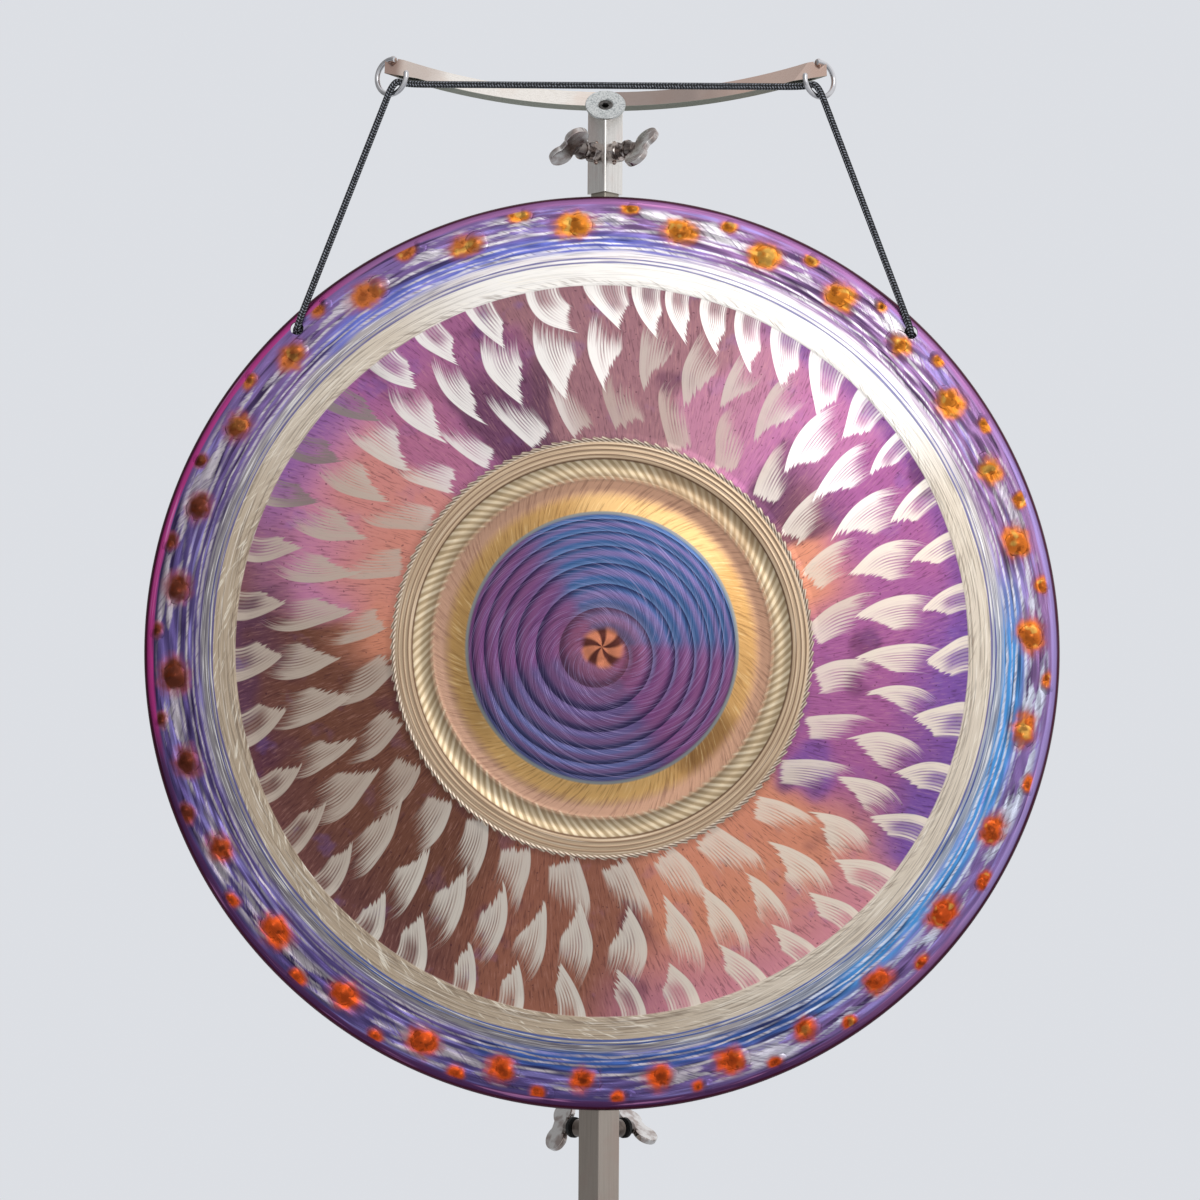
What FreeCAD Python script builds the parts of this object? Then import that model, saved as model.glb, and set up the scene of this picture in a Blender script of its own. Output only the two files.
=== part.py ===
import FreeCAD, Part
import math
import os

# Gong on a single-mast stand. Millimetres, +Z up, the gong faces -Y,
# and the origin lies on the floor under the axis of the mast.

V = FreeCAD.Vector
AXIS_X = V(1, 0, 0)
AXIS_Y = V(0, 1, 0)
AXIS_Z = V(0, 0, 1)
ZERO = V(0, 0, 0)
FULL_TURN = 360.0
QUARTER_TURN = 90.0
MAST_TURN = 45.0
# Least cosine between an edge and the direction that it is picked for
ALONG_SHARE = 0.9

# Shared clearances and the overrun of every cut
slide_clearance = 0.1
thread_clearance = 0.05
seat_gap = 0.3
cut_overrun = 60.0

# Gong
gong_diameter = 664.0
gong_thickness = 3.0
gong_rim_depth = 11.0
gong_shoulder_radius = 6.0
cord_hole_diameter = 9.8
cord_hole_inset = 9.6
cord_hole_angle = 44.0
# Zones of the gong's face from the middle out, as shares of the gong's radius
boss_share = 0.295
inner_band_share = 0.372
groove_share = 0.415
turned_share = 0.459
field_share = 0.799
brushed_share = 0.873
blue_band_share = 0.885
# Heights of the face over the hammered border
boss_height = 9.0
boss_edge_height = 5.0
turned_height = 4.0
brushed_height = 0.8
turned_groove_depth = 1.6
blue_groove_depth = 0.8
ridge_height = 0.9
# Edges of the ridges in the middle, as shares of the boss's radius
ridge_edge_shares = (0.0, 0.2, 0.36, 0.5, 0.62, 0.73, 0.83, 0.92, 1.0)
# Two rows of raised domes in the hammered border
dome_count = 30
large_dome_radius = 6.5
large_dome_height = 2.6
small_dome_radius = 3.6
small_dome_height = 1.5
dome_edge_gap = 0.2
dome_row_pitch = 12.0
dome_root = 1.5
# The domes were set by hand: degrees by which they stray from an even spacing, as waves round the gong
dome_stray_waves = (0, 1, 2, 3)
dome_stray_cosines = (-7.6, 1.5, 1.5, 1.35)
dome_stray_sines = (0.0, 3.0, -0.2, 2.2)

# Square mast, turned so that one corner faces forward
inner_mast_width = 15.3
inner_mast_wall = 2.0
lower_mast_wall = 3.05
sleeve_wall = 1.85
tube_corner_radius = 1.5
lower_mast_length = 690.0
inner_mast_length = 980.0
mast_insertion = 280.0
sleeve_insertion = 42.0
sleeve_length = 66.0
mast_plug_length = 12.0
mast_plug_flange = 2.0

# Bow that carries the two hook rings, and the seat that holds it
seat_tilt = 33.0
bow_radius = 375.0
bow_width = 15.0
bow_thickness = 5.0
bow_edge_step = 0.5
tip_cut_start = 138.2
tip_cut_slope = 12.0
tip_cut_lean = 8.0
tip_cut_length = 50.0
tip_trim_inset = 4.0
tip_trim_reach = 5.1
washer_diameter = 30.0
washer_hole_diameter = 10.5
washer_thickness = 1.5
washer_chamfer = 0.8
seat_screw_diameter = 10.0
seat_screw_length = 14.0
seat_screw_recess = 1.2
seat_screw_end_gap = 0.5
seat_screw_socket_width = 5.0
seat_screw_socket_depth = 5.0
block_gap = 1.0

# Hook rings of round wire at the tips of the bow
ring_outer_diameter = 30.0
ring_wire_diameter = 4.0
ring_spacing = 314.6
ring_yaw = 32.0
ring_start_angle = 80.0
ring_end_angle = 365.0
ring_top_step = 0.9
ring_forward = 1.5
weld_bead_radius = 2.9
weld_bead_angle = 86.0

# Suspension cord and its stopper knots
cord_diameter = 5.0
cord_drop = 175.0
cord_face_gap = 0.5
cord_edge_radius = 1.1
ring_cord_gap = 0.5
# Where the cord touches the bottom wire of a ring, turns over it, and passes behind its inner wire
cord_touch_inward = 1.5
cord_turn_rise = 10.0
cord_behind_inward = 8.5
cord_behind_drop = 5.5
cord_behind_depth = 5.6
cord_corner_share = 0.45
knot_diameter = 14.0
knot_length = 12.0
knot_face_diameter = 9.5
knot_inset = 2.5

# Hardware of the clamps
bolt_diameter = 8.0
bolt_tip_gap = 0.1
nut_width = 13.0
nut_height = 6.5
nut_chamfer = 0.7
nut_turn = 30.0
boss_diameter = 13.0
boss_length = 10.5
nut_weld_radius = 1.6
wing_span = 37.5
wing_lobe_radius = 9.0
wing_thickness = 4.5
wing_edge_radius = 1.8
wing_rise = 12.0
wing_web_thickness = 3.6
wing_web_low = 4.5
wing_web_high = 15.5
wing_hub_diameter = 14.0
wing_hub_top_diameter = 11.0
wing_hub_height = 8.5
lock_washer_diameter = 14.8
lock_washer_thickness = 1.6
grip_washer_diameter = 15.0
grip_washer_thickness = 2.5
sleeve_bolt_height = 30.0
sleeve_thread_gap = 7.2
sleeve_wing_angles = (-57.0, -37.0)
mast_bolt_drop = 29.0
mast_thread_gap = 3.3
mast_wing_angles = (24.0, -56.0)
socket_thread_gap = 2.0
socket_wing_angle = 20.0
socket_bolt_drop = 24.0

# Foot of the stand
socket_wall = 2.5
socket_height = 110.0
base_plate_thickness = 4.0
leg_width = 20.0
leg_wall = 2.0
leg_length = 340.0
leg_cap_plug = 14.0
leg_cap_flange = 3.0
foot_diameter = 24.0
foot_height = 12.0
foot_spigot_diameter = 8.0
foot_spigot_length = 6.0
foot_inset = 22.0
foot_edge_radius = 1.5

# Sizes that follow from the ones above
gong_radius = gong_diameter / 2
flat_radius = gong_radius - gong_shoulder_radius
hole_ring_radius = gong_radius - cord_hole_inset
mast_bore = inner_mast_width + 2 * slide_clearance
lower_mast_width = mast_bore + 2 * lower_mast_wall
sleeve_width = mast_bore + 2 * sleeve_wall
sleeve_corner = sleeve_width / math.sqrt(2) - tube_corner_radius * (math.sqrt(2) - 1)
socket_bore = lower_mast_width + 2 * slide_clearance
socket_width = socket_bore + 2 * socket_wall
cord_radius = cord_diameter / 2
wire_radius = ring_wire_diameter / 2
ring_mean_radius = ring_outer_diameter / 2 - wire_radius
washer_radius = washer_diameter / 2

# Heights from the floor up
socket_bottom = foot_height
lower_mast_bottom = socket_bottom + base_plate_thickness
lower_mast_top = lower_mast_bottom + lower_mast_length
inner_mast_bottom = lower_mast_top - mast_insertion
inner_mast_top = inner_mast_bottom + inner_mast_length
sleeve_bottom = inner_mast_top - sleeve_insertion
seat_height = sleeve_bottom + sleeve_length

# The seat of the bow leans back, and its washer ends flush with the front corner of the sleeve
tilt = math.radians(seat_tilt)
seat_centre = V(0, washer_radius * math.sin(tilt) - sleeve_corner, seat_height)
seat_placement = FreeCAD.Placement(seat_centre, FreeCAD.Rotation(AXIS_X, QUARTER_TURN - seat_tilt))
bow_top = washer_radius - bow_edge_step
bow_bottom = bow_top - bow_width


def seat_point(across, up, out):
    """A point given across, up and out of the sloping seat."""
    return seat_placement.multVec(V(across, up, out))


def bow_front(across):
    """How far the front face of the bow has come out of the seat's plane."""
    return bow_radius - math.sqrt(bow_radius ** 2 - across ** 2)


# Places of the rings, of the axis on which the gong swings, and of the gong
ring_reach = ring_spacing / 2
tip_edge = seat_point(ring_reach, bow_top, bow_front(ring_reach))
ring_y = tip_edge.y - ring_forward
ring_height = tip_edge.z - ring_top_step - ring_outer_diameter / 2


def ring_frame():
    """Centre of the left ring and its in-plane direction towards the mast."""
    yaw = math.radians(ring_yaw)
    return V(-ring_reach, ring_y, ring_height), V(math.cos(yaw), -math.sin(yaw), 0)


def left_hook_point(inward_step, drop_step, front_step):
    """A point from the left ring's centre: towards the mast, down, and forward of the ring."""
    centre, inward = ring_frame()
    normal = inward.cross(AXIS_Z)
    return centre + inward * inward_step - AXIS_Z * drop_step + normal * front_step


# The gong swings about the line through the two places where the cord leaves the rings
wrap_radius = wire_radius + cord_radius + ring_cord_gap
cord_touch = left_hook_point(cord_touch_inward, ring_mean_radius, wrap_radius)
swing_axis = V(0, cord_touch.y, cord_touch.z)
hole_side = hole_ring_radius * math.sin(math.radians(cord_hole_angle))
hole_rise = hole_ring_radius * math.cos(math.radians(cord_hole_angle))
gong_height = swing_axis.z - cord_drop - hole_rise


def save(name, *shapes):
    """Write one sub-part, as one file with one solid or several."""
    solids = [solid for shape in shapes for solid in shape.Solids]
    whole = solids[0] if len(solids) == 1 else Part.makeCompound(solids)
    assert whole.isValid(), name
    whole.exportStep(os.path.join("parts", name + ".step"))


def block(x0, x1, y0, y1, z0, z1):
    return Part.makeBox(x1 - x0, y1 - y0, z1 - z0, V(x0, y0, z0))


def rounded_bar(width, corner, z0, z1):
    """An upright square bar with rounded corners, square to the axes."""
    half = width / 2
    bar = block(-half, half, -half, half, z0, z1)
    upright = [edge for edge in bar.Edges if abs(edge.tangentAt(edge.FirstParameter).z) > ALONG_SHARE]
    return bar.makeFillet(corner, upright) if corner > 0 else bar


def square_tube(width, wall, z0, z1):
    """An upright square tube with rounded outer corners and a square bore."""
    half = width / 2 - wall
    outer = rounded_bar(width, tube_corner_radius, z0, z1)
    return outer.cut(block(-half, half, -half, half, z0 - cut_overrun, z1 + cut_overrun))


def turned(shape, angle=MAST_TURN):
    """A copy turned about the upright axis."""
    copy = shape.copy()
    copy.rotate(ZERO, AXIS_Z, angle)
    return copy


def seated(shape):
    """A copy moved from the seat's own axes into place."""
    copy = shape.copy()
    copy.Placement = seat_placement.multiply(copy.Placement)
    return copy


def flipped(shape):
    """The same shape on the other side of the mast."""
    return shape.mirror(ZERO, AXIS_X)


def revolved(points_face, placement):
    solid = points_face.revolve(ZERO, AXIS_Z, FULL_TURN)
    solid = Part.Solid(solid.Shells[0]) if solid.ShapeType != "Solid" else solid
    solid.Placement = placement
    return solid


def line(a, b):
    return Part.LineSegment(V(a[0], 0, a[1]), V(b[0], 0, b[1])).toShape()


def bulge(a, middle, b):
    return Part.Arc(V(a[0], 0, a[1]), V(middle[0], 0, middle[1]), V(b[0], 0, b[1])).toShape()


def halfway(a, b, rise):
    return ((a[0] + b[0]) / 2, (a[1] + b[1]) / 2 + rise)


# Gong

def gong_face_points():
    """Corners of the face as radius and height, from the middle to the flat border's edge."""
    ridges = []
    for share in ridge_edge_shares:
        fall = (boss_height - boss_edge_height) * share ** 2
        ridges.append((gong_radius * boss_share * share, boss_height - fall))
    return ridges


def gong_profile():
    """Half section of the gong: ridged boss, turned zone, field, bands, border and rim."""
    ridges = gong_face_points()
    edges = [bulge(a, halfway(a, b, ridge_height), b) for a, b in zip(ridges, ridges[1:])]
    inner_band = (gong_radius * inner_band_share, boss_edge_height)
    groove = (gong_radius * groove_share, turned_height)
    turned_edge = (gong_radius * turned_share, turned_height)
    field_edge = (gong_radius * field_share, 0)
    brushed_inner = (gong_radius * field_share, brushed_height)
    brushed_edge = (gong_radius * brushed_share, brushed_height)
    blue_inner = (gong_radius * brushed_share, 0)
    blue_edge = (gong_radius * blue_band_share, 0)
    flat_edge = (flat_radius, 0)
    edges.append(line(ridges[-1], inner_band))
    edges.append(bulge(inner_band, halfway(inner_band, groove, -turned_groove_depth), groove))
    edges.append(line(groove, turned_edge))
    edges.append(line(turned_edge, field_edge))
    edges.append(line(field_edge, brushed_inner))
    edges.append(line(brushed_inner, brushed_edge))
    edges.append(line(brushed_edge, blue_inner))
    edges.append(bulge(blue_inner, halfway(blue_inner, blue_edge, -blue_groove_depth), blue_edge))
    edges.append(line(blue_edge, flat_edge))
    bend = gong_shoulder_radius
    inner_bend = bend - gong_thickness
    rim_top = (gong_radius, -bend)
    rim_bottom = (gong_radius, -gong_rim_depth)
    wall_bottom = (gong_radius - gong_thickness, -gong_rim_depth)
    wall_top = (gong_radius - gong_thickness, -bend)
    back_edge = (flat_radius, -gong_thickness)
    lean = math.cos(math.radians(MAST_TURN))
    shoulder = (flat_radius + bend * lean, -bend + bend * lean)
    inner_shoulder = (flat_radius + inner_bend * lean, -bend + inner_bend * lean)
    edges.append(bulge(flat_edge, shoulder, rim_top))
    edges.append(line(rim_top, rim_bottom))
    edges.append(line(rim_bottom, wall_bottom))
    edges.append(line(wall_bottom, wall_top))
    edges.append(bulge(wall_top, inner_shoulder, back_edge))
    back = [back_edge, (field_edge[0], -gong_thickness),
            (turned_edge[0], turned_height - gong_thickness),
            (ridges[-1][0], boss_edge_height - gong_thickness),
            (0, boss_height - gong_thickness)]
    edges += [line(a, b) for a, b in zip(back, back[1:])]
    edges.append(line(back[-1], ridges[0]))
    return Part.Face(Part.Wire(edges))


def dome(radius, height, ring_radius, angle):
    """A spherical cap on the border, rooted in the plate."""
    ball = (radius ** 2 + height ** 2) / (2 * height)
    low = math.degrees(math.asin((ball - height - dome_root) / ball))
    place = V(ring_radius * math.sin(angle), ring_radius * math.cos(angle), height - ball)
    return Part.makeSphere(ball, place, AXIS_Z, low, QUARTER_TURN, FULL_TURN)


def dome_angle(number):
    """The angle of a dome, clockwise from the top of the gong's face."""
    even = number * 2 * math.pi / dome_count
    angle = even
    for wave, cosine, sine in zip(dome_stray_waves, dome_stray_cosines, dome_stray_sines):
        angle += math.radians(cosine * math.cos(wave * even) + sine * math.sin(wave * even))
    return angle


def gong_body():
    """The gong about its own axis, +Z forward."""
    body = revolved(gong_profile(), FreeCAD.Placement())
    small_ring = flat_radius - dome_edge_gap - small_dome_radius
    domes = []
    for number in range(dome_count):
        domes.append(dome(large_dome_radius, large_dome_height, small_ring - dome_row_pitch,
                          dome_angle(number)))
        domes.append(dome(small_dome_radius, small_dome_height, small_ring, dome_angle(number + 0.5)))
    body = body.multiFuse(domes)
    for side in (-1, 1):
        place = V(side * hole_side, hole_rise, -cut_overrun)
        body = body.cut(Part.makeCylinder(cord_hole_diameter / 2, 2 * cut_overrun, place, AXIS_Z))
    return max(body.Solids, key=lambda solid: solid.Volume)


gong_shape = gong_body()
gong_y = swing_axis.y + gong_shape.CenterOfMass.z
gong_shape.Placement = FreeCAD.Placement(V(0, gong_y, gong_height), FreeCAD.Rotation(AXIS_X, QUARTER_TURN))
hole_height = gong_height + hole_rise
gong_back_y = gong_y + gong_thickness


# Bow, washer, screw, seat block and rings

def bow_blank():
    """The bent flat bar in the seat's axes, longer than it ends up."""
    reach = ring_reach + ring_outer_diameter
    outer = bow_radius + bow_thickness
    front_end = bow_front(reach)
    back_reach = reach * outer / bow_radius
    back_end = bow_radius - (bow_radius - front_end) * outer / bow_radius
    corners = [V(-reach, 0, front_end), V(0, 0, 0), V(reach, 0, front_end),
               V(back_reach, 0, back_end), V(0, 0, -bow_thickness), V(-back_reach, 0, back_end)]
    edges = [Part.Arc(*corners[:3]).toShape(), Part.LineSegment(corners[2], corners[3]).toShape(),
             Part.Arc(*corners[3:]).toShape(), Part.LineSegment(corners[5], corners[0]).toShape()]
    bar = Part.Face(Part.Wire(edges)).extrude(V(0, bow_width, 0))
    bar.translate(V(0, bow_bottom, 0))
    return bar


def tip_cutter():
    """The wedge that is ground off the front of the bow's right tip."""
    wedge = block(0, tip_cut_length, -cut_overrun, cut_overrun, 0, cut_overrun)
    wedge.rotate(ZERO, AXIS_X, tip_cut_lean)
    wedge.rotate(ZERO, AXIS_Y, -tip_cut_slope)
    wedge.translate(V(tip_cut_start, bow_bottom, bow_front(tip_cut_start)))
    return wedge


def ring_place(angle):
    """A point on the left ring's centreline."""
    centre, inward = ring_frame()
    turn = math.radians(angle)
    across = inward * (ring_mean_radius * math.cos(turn))
    return centre + across + AXIS_Z * (ring_mean_radius * math.sin(turn))


def left_ring():
    """An open ring of round wire with a rounded free end."""
    middle = (ring_start_angle + ring_end_angle) / 2
    arc = Part.Arc(ring_place(ring_start_angle), ring_place(middle), ring_place(ring_end_angle)).toShape()
    start = ring_place(ring_start_angle)
    section = Part.Wire(Part.makeCircle(wire_radius, start, arc.tangentAt(arc.FirstParameter)))
    wire = Part.Wire(arc).makePipeShell([section], True, True)
    tip = Part.makeSphere(wire_radius, ring_place(ring_end_angle))
    return wire.fuse(tip).removeSplitter()


def left_trim_tool():
    """What lies beyond the ring, so that the bow ends at the wire."""
    centre, inward = ring_frame()
    normal = inward.cross(AXIS_Z)
    core = Part.makeCylinder(ring_mean_radius, 2 * cut_overrun, centre - normal * cut_overrun, normal)
    beyond = block(0, cut_overrun, -cut_overrun, cut_overrun, -cut_overrun, cut_overrun)
    beyond.rotate(ZERO, AXIS_Z, FULL_TURN / 2)
    beyond.translate(V(centre.x + tip_trim_inset, 0, centre.z))
    outside = block(-cut_overrun, 0, -cut_overrun, cut_overrun, -cut_overrun, cut_overrun)
    outside.translate(V(centre.x - tip_trim_reach, 0, centre.z))
    return beyond.cut(core).fuse(outside)


ring_left = left_ring()
screw_top = washer_thickness - seat_screw_recess
screw_bore = Part.makeCylinder(seat_screw_diameter / 2 + thread_clearance, 2 * cut_overrun,
                               V(0, 0, screw_top - seat_screw_length - seat_screw_end_gap), AXIS_Z)


def hanger_bow():
    bar = bow_blank().cut(screw_bore)
    cutter = tip_cutter()
    bar = bar.cut(cutter).cut(cutter.mirror(ZERO, AXIS_X))
    bar = seated(bar)
    for tool in (left_trim_tool(), ring_left):
        bar = bar.cut(tool).cut(flipped(tool))
    return max(bar.Solids, key=lambda solid: solid.Volume)


bow_shape = hanger_bow()


def left_weld_bead():
    """The blob of weld between a ring's upper end and the bow."""
    bead = Part.makeSphere(weld_bead_radius, ring_place(weld_bead_angle) + AXIS_Y * wire_radius)
    bead = bead.cut(ring_left).cut(bow_shape)
    return max(bead.Solids, key=lambda solid: solid.Volume)


def bow_washer():
    """The round plate over the bow's seat, chamfered round its hole."""
    inner = washer_hole_diameter / 2
    outer = washer_radius
    step = washer_chamfer
    points = [(inner, 0), (outer, 0), (outer, washer_thickness - step / 2),
              (outer - step / 2, washer_thickness), (inner + step, washer_thickness),
              (inner, washer_thickness - step)]
    edges = [line(a, b) for a, b in zip(points, points[1:] + points[:1])]
    return revolved(Part.Face(Part.Wire(edges)), seat_placement).cut(bow_shape)


def hexagon(width, height):
    """A hexagonal prism about +Z, standing on its own origin."""
    corner = width / math.sqrt(3)
    points = []
    for number in range(7):
        angle = number * math.pi / 3
        points.append(V(corner * math.cos(angle), corner * math.sin(angle), 0))
    return Part.Face(Part.makePolygon(points)).extrude(V(0, 0, height))


def bow_screw():
    """The socket screw that is sunk in the washer's hole."""
    screw = Part.makeCylinder(seat_screw_diameter / 2, seat_screw_length,
                              V(0, 0, screw_top - seat_screw_length), AXIS_Z)
    socket = hexagon(seat_screw_socket_width, seat_screw_socket_depth + cut_overrun)
    socket.translate(V(0, 0, screw_top - seat_screw_socket_depth))
    return seated(screw.cut(socket))


def seat_cutters():
    """What stands above the two slopes of the seat."""
    front = block(-cut_overrun, cut_overrun, -cut_overrun, cut_overrun, 0, 2 * cut_overrun)
    rear = block(-cut_overrun, cut_overrun, bow_top, 2 * cut_overrun, -cut_overrun, cut_overrun)
    return [seated(front), seated(rear)]


def bolt_axis(angle, height):
    """A place whose +Z points out of the mast at an angle about the upright axis."""
    turn = FreeCAD.Rotation(AXIS_Z, angle).multiply(FreeCAD.Rotation(AXIS_Y, QUARTER_TURN))
    return FreeCAD.Placement(V(0, 0, height), turn)


def placed(shape, placement):
    copy = shape.copy()
    copy.Placement = placement.multiply(copy.Placement)
    return copy


def bolt_hole(placement):
    hole = Part.makeCylinder(bolt_diameter / 2 + thread_clearance, cut_overrun, ZERO, AXIS_Z)
    return placed(hole, placement)


front_left = -QUARTER_TURN - MAST_TURN
front_right = -QUARTER_TURN + MAST_TURN
rear_left = QUARTER_TURN + MAST_TURN
rear_right = QUARTER_TURN - MAST_TURN
sleeve_bolts = {"left": bolt_axis(front_left, sleeve_bottom + sleeve_bolt_height),
                "right": bolt_axis(front_right, sleeve_bottom + sleeve_bolt_height)}
mast_bolts = {"left": bolt_axis(rear_left, lower_mast_top - mast_bolt_drop),
              "right": bolt_axis(rear_right, lower_mast_top - mast_bolt_drop)}
socket_bolt = bolt_axis(rear_right, socket_bottom + socket_height - socket_bolt_drop)


def top_sleeve():
    tube = turned(square_tube(sleeve_width, sleeve_wall, sleeve_bottom, seat_height + cut_overrun))
    holes = [bolt_hole(place) for place in sleeve_bolts.values()]
    for cutter in seat_cutters() + [bow_shape, seated(screw_bore)] + holes:
        tube = tube.cut(cutter)
    return max(tube.Solids, key=lambda solid: solid.Volume)


def seat_block():
    """The solid block welded into the top of the sleeve."""
    half = mast_bore / 2
    core = turned(block(-half, half, -half, half, inner_mast_top + block_gap, seat_height + cut_overrun))
    for cutter in seat_cutters() + [bow_shape, seated(screw_bore)]:
        core = core.cut(cutter)
    return max(core.Solids, key=lambda solid: solid.Volume)


# Clamp hardware, each piece built on a bolt's own axis

def chamfered_nut():
    """A hexagon nut with its bore and its rounded corners."""
    nut = hexagon(nut_width, nut_height)
    corner = nut_width / math.sqrt(3)
    inner = nut_width / 2
    points = [(0, 0), (corner, 0), (corner, nut_height - nut_chamfer),
              (inner, nut_height), (0, nut_height)]
    edges = [line(a, b) for a, b in zip(points, points[1:] + points[:1])]
    nut = nut.common(revolved(Part.Face(Part.Wire(edges)), FreeCAD.Placement()))
    return nut.cut(Part.makeCylinder(bolt_diameter / 2, nut_height, ZERO, AXIS_Z))


def nut_on(placement, face):
    """A nut against a face of the tube, with two flats up and down."""
    return placed(lifted(turned(chamfered_nut(), nut_turn), face), placement)


def lifted(shape, height):
    copy = shape.copy()
    copy.translate(V(0, 0, height))
    return copy


def weld_dots(placement, face):
    """Beads of weld on two opposite flats of a nut, against the tube."""
    dots = []
    for side in (-1, 1):
        centre = V(side * (nut_width / 2 + nut_weld_radius / 2), 0, face)
        dot = Part.makeSphere(nut_weld_radius, centre, AXIS_Z, 0, QUARTER_TURN, FULL_TURN)
        nut = lifted(turned(hexagon(nut_width, nut_height), nut_turn), face)
        dots.append(placed(dot.cut(nut), placement))
    return dots


def plain_washer(outer, thickness, start):
    ring = Part.makeCylinder(outer / 2, thickness, V(0, 0, start), AXIS_Z)
    return ring.cut(Part.makeCylinder(bolt_diameter / 2 + slide_clearance, thickness + cut_overrun,
                                      V(0, 0, start), AXIS_Z))


def wing_bolt(tip, seat, angle):
    """A bolt with two rounded wings: shank from tip to seat, hub and wings beyond it."""
    shank = Part.makeCylinder(bolt_diameter / 2 - thread_clearance, seat - tip, V(0, 0, tip), AXIS_Z)
    hub = Part.makeCone(wing_hub_diameter / 2, wing_hub_top_diameter / 2, wing_hub_height,
                        V(0, 0, seat), AXIS_Z)
    reach = wing_span / 2 - wing_lobe_radius
    half = wing_web_thickness / 2
    web = block(-reach, reach, -half, half, seat + wing_web_low, seat + wing_web_high)
    pieces = [hub, web]
    for side in (-1, 1):
        centre = V(side * reach, -wing_thickness / 2, seat + wing_rise)
        lobe = Part.makeCylinder(wing_lobe_radius, wing_thickness, centre, AXIS_Y)
        rims = [edge for edge in lobe.Edges if isinstance(edge.Curve, Part.Circle)]
        pieces.append(lobe.makeFillet(wing_edge_radius, rims))
    bolt = shank.multiFuse(pieces).removeSplitter()
    bolt.rotate(ZERO, AXIS_Z, angle)
    return bolt


mast_face = inner_mast_width / 2
bolt_tip = mast_face + bolt_tip_gap
sleeve_face = sleeve_width / 2
sleeve_seat = sleeve_face + nut_height + sleeve_thread_gap + lock_washer_thickness + slide_clearance
lower_face = lower_mast_width / 2
mast_seat = lower_face + boss_length + mast_thread_gap + grip_washer_thickness + slide_clearance
socket_face = socket_width / 2
socket_tip = lower_face + bolt_tip_gap
socket_seat = socket_face + nut_height + socket_thread_gap + lock_washer_thickness + slide_clearance


def save_sleeve_clamps():
    dots = []
    for (side, place), angle in zip(sleeve_bolts.items(), sleeve_wing_angles):
        save("sleeve_nut_" + side, nut_on(place, sleeve_face))
        dots += weld_dots(place, sleeve_face)
        washer = plain_washer(lock_washer_diameter, lock_washer_thickness,
                              sleeve_seat - slide_clearance - lock_washer_thickness)
        save("sleeve_lock_washer_" + side, placed(washer, place))
        save("sleeve_wing_bolt_" + side, placed(wing_bolt(bolt_tip, sleeve_seat, angle), place))
    save("sleeve_nut_welds", *dots)


def save_mast_clamps():
    for (side, place), angle in zip(mast_bolts.items(), mast_wing_angles):
        boss = Part.makeCylinder(boss_diameter / 2, boss_length, V(0, 0, lower_face), AXIS_Z)
        boss = boss.cut(Part.makeCylinder(bolt_diameter / 2, cut_overrun, ZERO, AXIS_Z))
        save("mast_boss_" + side, placed(boss, place))
        washer = plain_washer(grip_washer_diameter, grip_washer_thickness,
                              mast_seat - slide_clearance - grip_washer_thickness)
        save("mast_washer_" + side, placed(washer, place))
        save("mast_wing_bolt_" + side, placed(wing_bolt(bolt_tip, mast_seat, angle), place))


def save_socket_clamp():
    save("socket_nut", nut_on(socket_bolt, socket_face))
    washer = plain_washer(lock_washer_diameter, lock_washer_thickness,
                          socket_seat - slide_clearance - lock_washer_thickness)
    save("socket_lock_washer", placed(washer, socket_bolt))
    save("socket_wing_bolt", placed(wing_bolt(socket_tip, socket_seat, socket_wing_angle), socket_bolt))


# Mast and foot

def save_masts():
    inner = turned(square_tube(inner_mast_width, inner_mast_wall, inner_mast_bottom, inner_mast_top))
    save("inner_mast", inner)
    bore = inner_mast_width - 2 * inner_mast_wall
    plug = rounded_bar(bore, 0, inner_mast_bottom, inner_mast_bottom + mast_plug_length)
    flange = rounded_bar(inner_mast_width, tube_corner_radius,
                         inner_mast_bottom - mast_plug_flange, inner_mast_bottom)
    save("inner_mast_plug", turned(plug.fuse(flange).removeSplitter()))
    lower = turned(square_tube(lower_mast_width, lower_mast_wall, lower_mast_bottom, lower_mast_top))
    for place in mast_bolts.values():
        lower = lower.cut(bolt_hole(place))
    save("lower_mast", lower)


def leg_frame(angle):
    """A place at the socket's wall whose +X runs out along a leg, at the leg's middle height."""
    turn = FreeCAD.Rotation(AXIS_Z, angle)
    start = turn.multVec(V(socket_face, 0, socket_bottom + leg_width / 2))
    return FreeCAD.Placement(start, turn)


def leg_tube():
    half = leg_width / 2
    bore = half - leg_wall
    tube = block(0, leg_length, -half, half, -half, half)
    tube = tube.makeFillet(tube_corner_radius,
                           [edge for edge in tube.Edges
                            if abs(edge.tangentAt(edge.FirstParameter).x) > ALONG_SHARE])
    tube = tube.cut(block(-cut_overrun, leg_length + cut_overrun, -bore, bore, -bore, bore))
    spigot = Part.makeCylinder(foot_spigot_diameter / 2, half, V(leg_length - foot_inset, 0, -half), AXIS_Z)
    return tube.cut(spigot)


def leg_cap():
    half = leg_width / 2
    bore = half - leg_wall
    plug = block(leg_length - leg_cap_plug, leg_length, -bore, bore, -bore, bore)
    flange = block(leg_length, leg_length + leg_cap_flange, -half, half, -half, half)
    flange = flange.makeFillet(tube_corner_radius,
                               [edge for edge in flange.Edges
                                if abs(edge.tangentAt(edge.FirstParameter).x) > ALONG_SHARE])
    return plug.fuse(flange).removeSplitter()


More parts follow.
